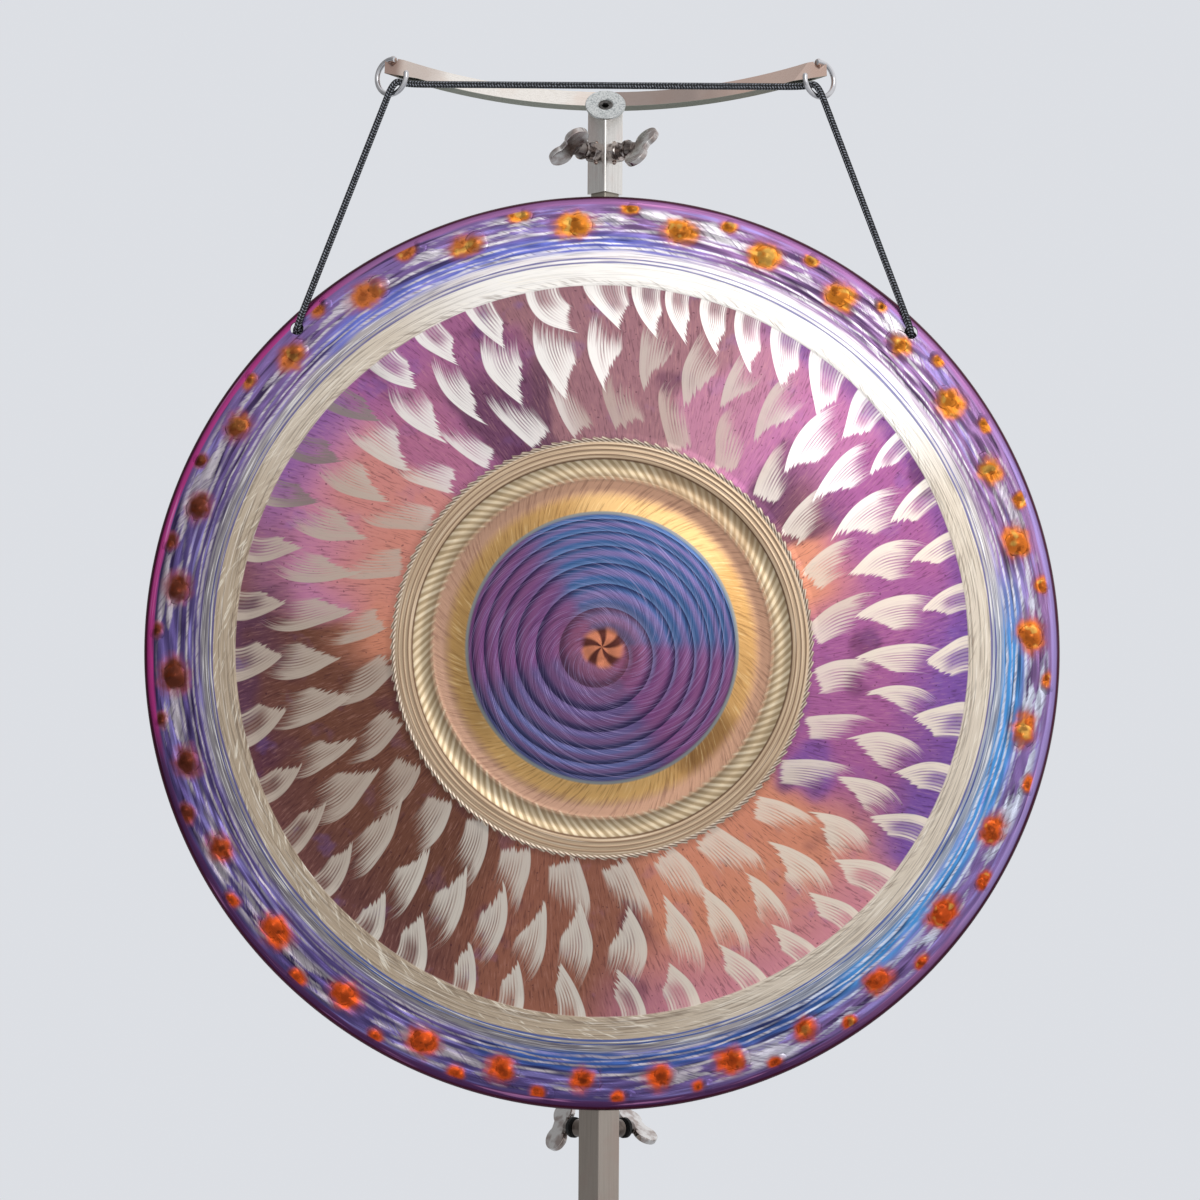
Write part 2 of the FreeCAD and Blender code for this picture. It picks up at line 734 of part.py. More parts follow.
def leg_foot():
    """A rubber foot under the end of a leg, with its spigot pushed into the tube."""
    half = leg_width / 2
    pad = Part.makeCylinder(foot_diameter / 2, foot_height, V(0, 0, -half - foot_height), AXIS_Z)
    rim = [edge for edge in pad.Edges
           if isinstance(edge.Curve, Part.Circle) and edge.BoundBox.ZMax < -half - foot_height / 2]
    pad = pad.makeFillet(foot_edge_radius, rim)
    spigot = Part.makeCylinder(foot_spigot_diameter / 2, foot_spigot_length, V(0, 0, -half), AXIS_Z)
    foot = pad.fuse(spigot).removeSplitter()
    foot.translate(V(leg_length - foot_inset, 0, 0))
    return foot


def save_base():
    socket = turned(square_tube(socket_width, socket_wall, socket_bottom + base_plate_thickness,
                                socket_bottom + socket_height)).cut(bolt_hole(socket_bolt))
    save("base_socket", socket)
    plate = turned(rounded_bar(socket_width, tube_corner_radius, socket_bottom,
                               socket_bottom + base_plate_thickness))
    save("base_plate", plate)
    legs = {"front_left": front_left, "front_right": front_right,
            "rear_left": rear_left, "rear_right": rear_right}
    for name, angle in legs.items():
        save("leg_" + name, placed(leg_tube(), leg_frame(angle)))
        save("leg_cap_" + name, placed(leg_cap(), leg_frame(angle)))
        save("foot_" + name, placed(leg_foot(), leg_frame(angle)))


# Suspension cord: one level run over both rings, a drop at each side, and the stopper knots

def cord_left_route():
    """Points of the cord from the left knot to the left end of its level run."""
    hole_back = V(-hole_side, gong_back_y + seat_gap, hole_height)
    hole_front = V(-hole_side, gong_y - cord_face_gap - cord_radius, hole_height)
    rise = (cord_touch - hole_front).normalize()
    over_wire = cord_touch + rise * cord_turn_rise
    behind_wire = left_hook_point(cord_behind_inward, cord_behind_drop, -cord_behind_depth)
    return [hole_back, hole_front, over_wire, behind_wire]


def mirrored(points):
    return [V(-point.x, point.y, point.z) for point in reversed(points)]


def corner_radius(before, corner, after):
    """The radius of an arc that takes its share of the shorter of two runs."""
    half = (corner - before).getAngle(after - corner) / 2
    return cord_corner_share * min((corner - before).Length, (after - corner).Length) / math.tan(half)


def cord_tube(label, points, radii):
    """A length of cord along straight runs joined by tangent arcs, one radius per corner."""
    edges = []
    start = points[0]
    for before, corner, after, radius in zip(points, points[1:], points[2:], radii):
        inbound = (corner - before).normalize()
        outbound = (after - corner).normalize()
        half = inbound.getAngle(outbound) / 2
        first = corner - inbound * (radius * math.tan(half))
        last = corner + outbound * (radius * math.tan(half))
        middle = corner + (outbound - inbound).normalize() * (radius / math.cos(half) - radius)
        edges.append(Part.LineSegment(start, first).toShape())
        edges.append(Part.Arc(first, middle, last).toShape())
        start = last
    edges.append(Part.LineSegment(start, points[-1]).toShape())
    path = Part.Wire(edges)
    section = Part.Wire(Part.makeCircle(cord_radius, points[0], points[1] - points[0]))
    tube = path.makePipeShell([section], True, True)
    print(label, "corner radii", [round(radius, 2) for radius in radii], "volume", round(tube.Volume, 1),
          "section by length", round(math.pi * cord_radius ** 2 * path.Length, 1))
    return tube


def level_cord():
    """The cord between the places where it leaves the rings, cut just above the swing axis."""
    route = cord_left_route()
    touch, over_wire, behind_wire = cord_touch, route[2], route[3]
    start = touch + (over_wire - touch).normalize() * (cord_radius + seat_gap)
    half = [start, over_wire, behind_wire]
    gentle = corner_radius(over_wire, behind_wire, mirrored([behind_wire])[0])
    return cord_tube("level cord", half + mirrored(half), [wrap_radius, gentle, gentle, wrap_radius])


def cord_drop_left():
    """The cord from the left knot up to the swing axis, where it ends in a ball."""
    points = cord_left_route()[:2] + [cord_touch]
    tube = cord_tube("cord drop", points, [cord_radius + cord_edge_radius])
    return tube.fuse(Part.makeSphere(cord_radius, cord_touch)).removeSplitter()


def knot_left():
    """The stopper knot behind the left hole, a round barrel set in from the rim."""
    face = knot_face_diameter / 2
    belly = (knot_diameter / 2, knot_length / 2)
    edges = [line((0, 0), (face, 0)), bulge((face, 0), belly, (face, knot_length)),
             line((face, knot_length), (0, knot_length)), line((0, knot_length), (0, 0))]
    inset = 1 - knot_inset / hole_ring_radius
    centre = V(-hole_side * inset, gong_back_y + seat_gap, gong_height + hole_rise * inset)
    return revolved(Part.Face(Part.Wire(edges)),
                    FreeCAD.Placement(centre, FreeCAD.Rotation(AXIS_X, -QUARTER_TURN)))


def save_cord():
    drop = cord_drop_left()
    knot = knot_left()
    save("cord_level", level_cord())
    save("cord_drop_left", drop)
    save("cord_drop_right", drop.mirror(ZERO, AXIS_X))
    save("cord_knot_left", knot)
    save("cord_knot_right", knot.mirror(ZERO, AXIS_X))


def main():
    os.makedirs("parts", exist_ok=True)
    save("gong", gong_shape)
    save("hanger_bow", bow_shape)
    save("hook_ring_left", ring_left)
    save("hook_ring_right", flipped(ring_left))
    bead = left_weld_bead()
    save("ring_weld_beads", bead, flipped(bead))
    save("bow_washer", bow_washer())
    save("bow_screw", bow_screw())
    save("top_sleeve", top_sleeve())
    save("seat_block", seat_block())
    save_sleeve_clamps()
    save_masts()
    save_mast_clamps()
    save_base()
    save_socket_clamp()
    save_cord()


main()
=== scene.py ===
import math

import bmesh
import bpy
import numpy as np
from bpy.props import FloatProperty, FloatVectorProperty, IntProperty, PointerProperty
from mathutils import Matrix, Vector


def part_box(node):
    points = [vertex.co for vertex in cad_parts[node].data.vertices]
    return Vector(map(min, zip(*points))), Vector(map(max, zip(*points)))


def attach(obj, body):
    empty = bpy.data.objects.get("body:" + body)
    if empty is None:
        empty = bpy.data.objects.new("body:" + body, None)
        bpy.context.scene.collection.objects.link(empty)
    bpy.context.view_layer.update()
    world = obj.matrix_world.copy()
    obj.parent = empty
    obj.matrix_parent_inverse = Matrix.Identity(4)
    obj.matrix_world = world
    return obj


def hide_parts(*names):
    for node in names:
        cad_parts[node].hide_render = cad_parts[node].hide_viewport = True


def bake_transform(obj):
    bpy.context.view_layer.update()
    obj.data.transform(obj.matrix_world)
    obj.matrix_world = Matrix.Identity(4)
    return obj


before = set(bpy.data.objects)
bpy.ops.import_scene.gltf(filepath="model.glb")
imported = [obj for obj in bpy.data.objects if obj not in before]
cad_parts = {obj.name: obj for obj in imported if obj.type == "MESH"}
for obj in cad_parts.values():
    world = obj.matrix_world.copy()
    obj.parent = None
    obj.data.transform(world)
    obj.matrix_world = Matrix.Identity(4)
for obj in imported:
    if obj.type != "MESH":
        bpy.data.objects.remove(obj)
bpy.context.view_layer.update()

# Gong on a single-mast stand: a ground and heat-tinted bronze disc, its cord, the bow
# with two open rings, the telescoping square mast, the wing bolts and the foot.

bl_info = {
    "name": "Gong on a single-mast stand",
    "version": (1, 0, 0),
    "blender": (4, 5, 0),
    "location": "3D View > Sidebar > Gong",
    "description": "Builds a hung gong, its cord and the finishes of its stand",
    "category": "Object",
}

GONG_LOW, GONG_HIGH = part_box("gong")
GONG_CENTRE = Vector((0.0, -0.032151, (GONG_LOW.z + GONG_HIGH.z) / 2))
GONG_RADIUS = min(GONG_HIGH.x, -GONG_LOW.x, (GONG_HIGH.z - GONG_LOW.z) / 2)

# The rounded shoulder's radius, where the flat of the face ends, and the cord holes
SHOULDER_BEND = 0.006
FLAT_SHARE = 1.0 - SHOULDER_BEND / GONG_RADIUS
CORD_HOLE_REACH = GONG_RADIUS - 0.0096
CORD_HOLE_ANGLE = 44.0
CORD_HOLE_RADIUS = 0.0049

# Where the zones of the face end, as shares of its radius: the boss, the gold cove, the copper slope,
# the pale groove, the turned zone, the field of ground strokes and the brushed band
BOSS_SHARE = 0.295
COVE_SHARE = 0.345
SLOPE_SHARE = 0.372
GROOVE_SHARE = 0.415
TURNED_SHARE = 0.459
FIELD_SHARE = 0.799
BAND_SHARE = 0.873

# The ground crests round the border: place, width and seed
CRESTS = ((0.882, 0.0048, 81.0), (0.8925, 0.0030, 82.5), (0.9045, 0.0040, 84.0), (0.9235, 0.0048, 87.0))

# How the boss's spiral drifts: shares of the sine and the cosine of the angle, and its start, in ridges
SPIRAL_DRIFT = (0.105, 0.26, 0.07)

# The bow's seat: its place as y and z, and the lean of its slope from the horizontal
SEAT_PLACE = (-0.004786, 1.430)
SEAT_LEAN = math.radians(57.0)

# The two rows of domes: spacing in degrees, how many, cosine and sine waves of their stray, the rows' places
DOME_SPACING = 12.0
DOMES_IN_ROW = 30
DOME_STRAY = ((-7.6, 0.0), (1.5, 3.0), (1.5, -0.2), (1.35, 2.2))
LARGE_DOME_SHARE = 0.9343
SMALL_DOME_SHARE = 0.9705

# Each row of domes: radius, height and place
DOME_ROWS = ((0.0062, 0.0030, LARGE_DOME_SHARE), (0.0036, 0.0019, SMALL_DOME_SHARE))

# The cord's control points from the left knot to the middle of its level run, in metres
CORD_HALF = [
    (-0.223958, -0.028851, 1.257098),
    (-0.223958, -0.035151, 1.257098),
    (-0.211331, -0.034625, 1.290948),
    (-0.164068, -0.032654, 1.417646),
    (-0.155183, -0.032284, 1.441466),
    (-0.147124, -0.027150, 1.439598),
    (-0.117000, -0.027150, 1.439598),
]

# Each wing bolt: its body, its direction in degrees, its height, how far out of the mast's axis the hub and
# the shank's tip are, and the turn of its wings in degrees
WING_BOLTS = {
    "sleeve_wing_bolt_left": ("sleeve_bolt_left", -135.0, 1.394, 0.0250, 0.0078, -57.0),
    "sleeve_wing_bolt_right": ("sleeve_bolt_right", -45.0, 1.394, 0.0250, 0.0078, -37.0),
    "mast_wing_bolt_left": ("mast_bolt_left", 135.0, 0.677, 0.0272, 0.0078, 24.0),
    "mast_wing_bolt_right": ("mast_bolt_right", 45.0, 0.677, 0.0272, 0.0078, -56.0),
    "socket_wing_bolt": ("socket_bolt", 45.0, 0.098, 0.0236, 0.0109, 20.0),
}

# The middle of each wing's lobe: its distance from the bolt's axis and above the hub's foot
WING_REACH = 0.00975
WING_RISE = 0.0128

# Plain surfaces: colour, second colour, scale of the clouds, roughness, metallic, depth of the relief
PLAIN_LOOKS = {
    "weld_bead": ((0.78, 0.73, 0.70), (0.58, 0.44, 0.38), 600.0, 0.28, 1.0, 0.0001),
    "plated_nut": ((0.76, 0.72, 0.70), (0.27, 0.22, 0.20), 230.0, 0.20, 1.0, 0.00004),
    "dark_boss": ((0.46, 0.42, 0.39), (0.36, 0.32, 0.30), 200.0, 0.32, 1.0, 0.00004),
    "satin_washer": ((0.86, 0.87, 0.86), (0.66, 0.68, 0.68), 900.0, 0.34, 1.0, 0.00008),
    "blackened_steel": ((0.42, 0.41, 0.40), (0.26, 0.26, 0.25), 300.0, 0.40, 0.9, 0.00006),
    "black_rubber": ((0.07, 0.07, 0.07), (0.10, 0.10, 0.10), 220.0, 0.75, 0.0, 0.0002),
    "black_plastic": ((0.06, 0.06, 0.06), (0.08, 0.08, 0.08), 700.0, 0.5, 0.0, 0.00008),
}
FLOOR_LOOK = ((0.84, 0.85, 0.86), (0.82, 0.83, 0.845), 2.0, 0.8, 0.0, 0.0002)

# What the CAD pieces of the stand wear, by how their names start
WORN = {
    "hanger_bow": "ground_bow", "hook_ring": "polished_wire", "ring_weld": "weld_bead",
    "sleeve_nut_welds": "weld_bead", "sleeve_nut": "plated_nut", "socket_nut": "plated_nut",
    "mast_boss": "dark_boss", "sleeve_lock": "plated_nut", "socket_lock": "plated_nut",
    "bow_washer": "satin_washer", "bow_screw": "blackened_steel", "mast_washer": "black_rubber",
    "foot": "black_rubber", "leg_cap": "black_plastic", "inner_mast_plug": "black_plastic",
    "top_sleeve": "ground_sleeve", "inner_mast": "ground_tube", "lower_mast": "ground_mast",
    "seat_block": "ground_tube", "base": "ground_tube", "leg": "ground_tube",
}

# The camera: its place, its lens in millimetres, and its pitch and roll in degrees
CAMERA_PLACE = (-0.0017, -2.234, 0.890)
CAMERA_LENS = 91.5
CAMERA_TURN = (94.41, 0.366)


class GongSettings(bpy.types.PropertyGroup):
    spin_steps: IntProperty(name="Spin steps", description="Steps of the disc's spin", default=576, min=96)
    ridge_height: FloatProperty(name="Ridge height", description="Height of the boss's spiral ridge",
                                default=0.0011, unit="LENGTH")
    wave_height: FloatProperty(name="Border waves", description="Height of the hammered border's waves",
                               default=0.0005, unit="LENGTH")
    silver: FloatVectorProperty(name="Ground silver", description="Colour of the ground strokes",
                                subtype="COLOR", size=3, default=(0.93, 0.88, 0.81))
    edge_tint: FloatVectorProperty(name="Edge tint", description="Colour of the rounded shoulder",
                                   subtype="COLOR", size=3, default=(0.30, 0.10, 0.19))


class CordSettings(bpy.types.PropertyGroup):
    diameter: FloatProperty(name="Diameter", description="Diameter of the braided cord", default=0.005,
                            unit="LENGTH")
    sides: IntProperty(name="Sides", description="Sides of the cord's tube", default=20, min=8)
    black: FloatVectorProperty(name="Black", description="Colour of the braid", subtype="COLOR", size=3,
                               default=(0.27, 0.28, 0.30))


class StandSettings(bpy.types.PropertyGroup):
    steel: FloatVectorProperty(name="Ground steel", description="Colour of the tubes", subtype="COLOR",
                               size=3, default=(0.66, 0.63, 0.58))
    wire: FloatVectorProperty(name="Polished wire", description="Colour of the hook rings", subtype="COLOR",
                              size=3, default=(0.86, 0.86, 0.87))
    voxel: FloatProperty(name="Casting voxel", description="Voxel of the cast wings", default=0.0005,
                         unit="LENGTH")


class StageSettings(bpy.types.PropertyGroup):
    backdrop: FloatVectorProperty(name="Backdrop", description="Colour behind the object", subtype="COLOR",
                                  size=3, default=(0.865, 0.875, 0.895))
    key_power: FloatProperty(name="Key light", description="Power of the light at the upper right",
                             default=10.0, unit="POWER")
    room_light: FloatProperty(name="Room light", description="Strength of the surrounding light",
                              default=0.75)


def linear(colour):
    """A display colour as the linear light that a shader takes."""
    return tuple(c / 12.92 if c <= 0.04045 else ((c + 0.055) / 1.055) ** 2.4 for c in colour) + (1.0,)


# Shader maths

class Value:
    """A socket that takes part in sums."""

    def __init__(self, finish, socket):
        self.finish = finish
        self.socket = socket

    def sum(self, operation, *others):
        return self.finish.maths(operation, self, *others)

    def __add__(self, other):
        return self.sum("ADD", other)

    def __radd__(self, other):
        return self.sum("ADD", other)

    def __sub__(self, other):
        return self.sum("SUBTRACT", other)

    def __rsub__(self, other):
        return self.finish.maths("SUBTRACT", other, self)

    def __mul__(self, other):
        return self.sum("MULTIPLY", other)

    def __rmul__(self, other):
        return self.sum("MULTIPLY", other)

    def __truediv__(self, other):
        return self.sum("DIVIDE", other)



class Finish:
    """A material under construction, and the few kinds of node that it needs."""

    def __init__(self, name, roughness, metallic):
        self.material = bpy.data.materials.new(name)
        self.material.use_nodes = True
        self.tree = self.material.node_tree
        self.shade = None
        self.shader = self.tree.nodes["Principled BSDF"]
        self.shader.inputs["Roughness"].default_value = roughness
        self.shader.inputs["Metallic"].default_value = metallic

    def node(self, kind, settings=None, **inputs):
        """A node of a type, with its settings and the values or links of its sockets."""
        node = self.tree.nodes.new(kind)
        for key, value in (settings or {}).items():
            setattr(node, key, value)
        for key, value in inputs.items():
            self.feed(node.inputs[int(key[1:]) if key[1:].isdigit() else key.replace("_", " ")], value)
        return node

    def feed(self, socket, value):
        if isinstance(value, Value):
            self.tree.links.new(value.socket, socket)
        else:
            socket.default_value = value

    def maths(self, operation, *values):
        settings = {"operation": operation}
        node = self.node("ShaderNodeMath", settings, **{"i%d" % i: v for i, v in enumerate(values)})
        return Value(self, node.outputs[0])

    def place(self):
        """Object coordinates as three values and as one."""
        coordinates = self.node("ShaderNodeTexCoord").outputs["Object"]
        split = self.node("ShaderNodeSeparateXYZ", None, Vector=Value(self, coordinates))
        return [Value(self, output) for output in split.outputs] + [Value(self, coordinates)]

    def vector(self, x=0.0, y=0.0, z=0.0):
        return Value(self, self.node("ShaderNodeCombineXYZ", None, X=x, Y=y, Z=z).outputs[0])

    def noise(self, vector, scale=1.0, detail=2.0, roughness=0.5):
        node = self.node("ShaderNodeTexNoise", None, Vector=vector, Scale=scale, Detail=detail,
                         Roughness=roughness)
        return Value(self, node.outputs[0])

    def step(self, value, low, high, top=1.0):
        """0 below low, top above high, smooth between them; falling where low is above high."""
        settings = {"interpolation_type": "SMOOTHSTEP"}
        node = self.node("ShaderNodeMapRange", settings, Value=value, From_Min=low, From_Max=high, To_Max=top)
        return Value(self, node.outputs[0])

    def mix(self, first, second, share):
        """Between two colours, given as display colours or as links."""
        node = self.node("ShaderNodeMix", {"data_type": "RGBA", "clamp_factor": True})
        for socket, colour in ((node.inputs[6], first), (node.inputs[7], second)):
            self.feed(socket, colour if isinstance(colour, Value) else linear(colour))
        self.feed(node.inputs[0], share)
        return Value(self, node.outputs[2])

    def bump(self, height, distance, strength=1.0):
        node = self.node("ShaderNodeBump", None, Height=height, Distance=distance, Strength=strength)
        self.feed(self.shader.inputs["Normal"], Value(self, node.outputs[0]))

    def colour(self, value):
        """Give the surface its colour, which later layers can start from."""
        self.shade = value
        self.feed(self.shader.inputs["Base Color"], value)

    def rough(self, value):
        self.feed(self.shader.inputs["Roughness"], value)


# The gong's patterns, as the same sums for the mesh and for its finish

def ridge_count(share):
    """Ridges between the boss's middle and a share of its radius."""
    return share * (6.31 + share * (4.27 * share - 3.34))


def dome_angle(number):
    """The clockwise angle, in radians, of the dome of that number."""
    even = math.radians(DOME_SPACING * number)
    stray = sum(cosine * math.cos(wave * even) + sine * math.sin(wave * even)
                for wave, (cosine, sine) in enumerate(DOME_STRAY))
    return even + math.radians(stray)


class Face:
    """Polar coordinates on the gong's face, in a finish, and what all its patterns share."""

    def __init__(self, finish):
        self.finish = finish
        x, _, z, _ = finish.place()
        self.across = x / GONG_RADIUS
        self.up = (z - GONG_CENTRE.z) / GONG_RADIUS
        self.share = finish.maths("SQRT", self.across * self.across + self.up * self.up)
        self.angle = finish.maths("ARCTAN2", self.across, self.up)
        self.low_angle = finish.maths("ARCTAN2", self.across * -1.0, self.up * -1.0)
        self.turns = self.angle / (2 * math.pi)
        self.soft = self.cloud(2.3, 2.0, 3.0) - 0.5
        self.bearing = finish.vector(self.across / self.share, self.up / self.share, self.soft)
        self.fine = self.cloud(7.0, 5.0, 3.0) - 0.5

    def cloud(self, scale, seed, detail=2.0):
        finish = self.finish
        return finish.noise(finish.vector(self.across, self.up, seed), scale, detail)

    def lobe(self, degrees, reach, soft=0.25, weight=1.0):
        """Its weight towards a clockwise direction, 0 beyond a reach in degrees, with a wandering edge."""
        finish = self.finish
        turn = math.radians(degrees)
        towards = (math.sin(turn), math.cos(turn), soft)
        node = finish.node("ShaderNodeVectorMath", {"operation": "DOT_PRODUCT"}, i0=self.bearing, i1=towards)
        edge = math.cos(math.radians(reach))
        return finish.step(Value(finish, node.outputs["Value"]), edge, edge + (1.0 - edge) * 0.62, weight)

    def between(self, inner, outer, soft=0.002):
        """1 between two shares of the radius, 0 outside them."""
        rise = self.finish.step(self.share, inner - soft, inner + soft)
        return rise * self.finish.step(self.share, outer + soft, outer - soft)

    def streaks(self, lean, across, along, detail=2.0, seed=0.0):
        """Fine lines that lean from the circumference by a slope, as noise from 0 to 1."""
        finish = self.finish

        def drawn(radial):
            place = finish.vector(radial + seed, self.across * along, self.up * along)
            return finish.noise(place, 1.0, detail, 0.6)

        if not lean:
            return drawn(self.share * across)
        upper = drawn(self.share * across + self.angle * (across * lean * 0.35))
        lower = drawn(self.share * across + self.low_angle * (across * lean * 0.35))
        return lower + (upper - lower) * finish.step(self.up, -0.03, 0.03)

    def rays(self, count, along, lean=0.0, detail=2.0, seed=0.0):
        """Fine lines that run out from the middle, as noise from 0 to 1."""
        finish = self.finish
        swept = self.angle + self.share * lean
        x = finish.maths("SINE", swept) * count
        z = finish.maths("COSINE", swept) * count
        return finish.noise(finish.vector(x + seed, z, self.share * along), 1.0, detail, 0.6)

    def random(self, cell, seed):
        """A random number from 0 to 1 for a cell."""
        finish = self.finish
        place = finish.vector(cell, seed)
        node = finish.node("ShaderNodeTexWhiteNoise", {"noise_dimensions": "2D"}, Vector=place)
        return Value(finish, node.outputs[0])

    def crest(self, level, width, seed, wander=0.012):
        """A thin wavy line of ground metal round the gong, broken here and there."""
        finish = self.finish
        drift = (self.cloud(5.0, seed) - 0.5) * wander + (self.cloud(17.0, seed + 3.0) - 0.5) * wander * 0.5
        off = finish.maths("ABSOLUTE", self.share - level + drift)
        strength = finish.step(self.cloud(11.0, seed + 7.0), 0.34, 0.60)
        return finish.step(off, width, width * 0.15) * (strength * 0.75 + 0.25)


class Feathers:
    """One row of ground strokes, each a bundle of curved lines with a clean convex edge on its left."""

    def __init__(self, seed, count, root, tip, bend, turning, breadth, top, bottom, notch):
        self.seed = seed
        self.count = count
        self.root = root
        self.tip = tip
        self.bend = bend
        self.turning = turning
        self.breadth = breadth
        self.top = top
        self.bottom = bottom
        self.notch = notch

    def mask(self, face, number, rooted, crowd=0.0):
        """How bare the strokes leave the face, from 0 to 1."""
        finish = face.finish
        step, maths = finish.step, finish.maths
        seed = self.seed
        wobble = face.cloud(2.6, seed) - 0.5
        depth = (self.root - face.share + wobble * 0.02) / (self.root - self.tip)
        arc = (depth - self.turning) * (depth - self.turning) * (crowd * 0.5 + self.bend)
        turn = number - arc + wobble * 0.9 + seed * 0.37
        start_of_cell = maths("FLOOR", turn)
        cell = start_of_cell - maths("FLOOR", start_of_cell / self.count) * self.count
        length = face.random(cell, seed) - 0.5
        spread = face.random(cell, seed + 9.0) - 0.5
        beside = turn - start_of_cell - 0.04 - spread * 0.05
        share = beside / (crowd * 0.26 + self.breadth + spread * 0.20)
        line = finish.noise(finish.vector(beside * 20.0, cell * 3.1, seed), 1.0, 1.0, 0.8) - 0.5
        hair = finish.noise(finish.vector(beside * 46.0, cell * 5.3, depth * 2.0), 1.0, 2.0, 0.7) - 0.5
        end = 1.0 + length * 0.22 - share * self.bottom + line * 0.26
        start = share * self.top + line * 0.20 + 0.02
        inside = step(beside, -0.006, 0.016) * step(share + line * 0.16, 1.02, 0.90)
        inside = inside * step(depth, end, end - 0.05)
        if not rooted:
            inside = inside * step(depth - start + hair * 0.8, -0.04, 0.30)
        reach = face.random(cell, seed + 17.0) * 0.42 + self.notch
        gap = step(share, 0.26, 0.42) * step(share, 0.96, 0.62) * step(depth + line * 0.3, reach, reach - 0.3)
        wave = maths("SINE", beside * (2 * math.pi / 0.058) + spread * 9.0) * 0.5 + 0.5
        tip = step(depth, end - 0.38, end - 0.08) * 0.85
        closed = maths("MAXIMUM", step(share + line * 0.2, 0.42, 0.16), tip)
        lined = maths("MAXIMUM", closed, step(wave, 0.06, 0.70))
        worn = 0.96 - step(hair, 0.02, 0.26) * 0.34
        bare = inside * (lined * 0.72 + 0.28) * worn * (1.0 - gap * 0.72)
        return bare * step(face.share, 0.801, 0.799)


OUTER_ROW = Feathers(seed=1.0, count=41.0, root=0.800, tip=0.690, bend=0.46, turning=0.0, breadth=0.52,
                     top=0.0, bottom=0.55, notch=0.30)
MIDDLE_ROW = Feathers(seed=4.0, count=39.0, root=0.736, tip=0.560, bend=0.92, turning=0.36, breadth=0.70,
                      top=0.24, bottom=0.52, notch=0.16)
INNER_ROW = Feathers(seed=8.0, count=28.0, root=0.606, tip=0.458, bend=0.55, turning=0.18, breadth=0.60,
                     top=0.40, bottom=0.20, notch=0.05)


def field_colour(face):
    """The heat-tinted field, its hues by direction partly painted light: warm browns below, salmon and
    magenta patches, violet outside.
    """
    finish = face.finish
    mix, step, lobe = finish.mix, finish.step, face.lobe
    share = face.share
    out = step(share + face.fine * 0.10, 0.62, 0.79)
    core = step(share + face.fine * 0.08, 0.62, 0.48)
    brown, salmon, rust = (0.46, 0.30, 0.245), (0.86, 0.57, 0.46), (0.60, 0.39, 0.32)
    magenta, pink, mauve = (0.65, 0.38, 0.58), (0.80, 0.53, 0.67), (0.60, 0.43, 0.46)
    violet, plum = (0.47, 0.33, 0.62), (0.38, 0.25, 0.34)
    field = mix(brown, plum, out * 0.25)
    field = mix(field, mauve, lobe(352.0, 62.0, weight=0.95))
    field = mix(field, mauve, lobe(22.0, 36.0, weight=0.9))
    field = mix(field, rust, lobe(172.0, 44.0))
    field = mix(field, salmon, lobe(142.0, 34.0, weight=0.95))
    field = mix(field, pink, lobe(148.0, 34.0) * out * 0.55)
    field = mix(field, magenta, lobe(72.0, 42.0))
    field = mix(field, pink, lobe(38.0, 15.0, weight=0.45))
    field = mix(field, salmon, lobe(74.0, 23.0) * core)
    field = mix(field, magenta, lobe(103.0, 30.0) * (1.0 - out * 0.5))
    field = mix(field, violet, lobe(104.0, 30.0) * out * 0.95)
    field = mix(field, violet, lobe(122.0, 13.0, weight=0.7))
    field = mix(field, plum, lobe(128.0, 11.0) * step(share, 0.72, 0.62, 0.85))
    field = mix(field, violet, lobe(60.0, 40.0) * step(share, 0.74, 0.80, 0.6))
    field = mix(field, plum, lobe(53.0, 11.0, 0.1) * step(share, 0.66, 0.52, 0.85))
    field = mix(field, pink, lobe(302.0, 27.0, weight=0.95))
    field = mix(field, salmon, lobe(288.0, 24.0) * core * 0.9)
    field = mix(field, (0.84, 0.56, 0.50), lobe(307.0, 24.0) * step(share, 0.76, 0.64, 0.85))
    field = mix(field, violet, lobe(302.0, 26.0) * step(share, 0.70, 0.80, 0.7))
    field = mix(field, magenta, lobe(326.0, 16.0, weight=0.7))
    field = mix(field, plum, lobe(272.0, 12.0) * out * 0.8)
    field = mix(field, plum, lobe(336.0, 11.0) * step(share, 0.72, 0.60, 0.8))
    smudge = step(face.cloud(6.2, 31.0, 3.0), 0.60, 0.72)
    field = mix(field, (0.34, 0.19, 0.30), smudge * 0.55)
    patch = step(face.cloud(13.0, 41.0, 3.0), 0.58, 0.70)
    field = mix(field, (0.48, 0.40, 0.70), patch * (0.10 + out * 0.16))
    hair = face.rays(170.0, 34.0, lean=0.35, seed=3.0)
    field = mix(field, (0.24, 0.13, 0.17), step(hair, 0.52, 0.70, 0.42))
    field = mix(field, (0.92, 0.70, 0.64), step(hair, 0.46, 0.30, 0.13))
    speck = step(face.cloud(120.0, 51.0, 1.0), 0.68, 0.76)
    return mix(field, (0.24, 0.13, 0.20), speck * 0.55)


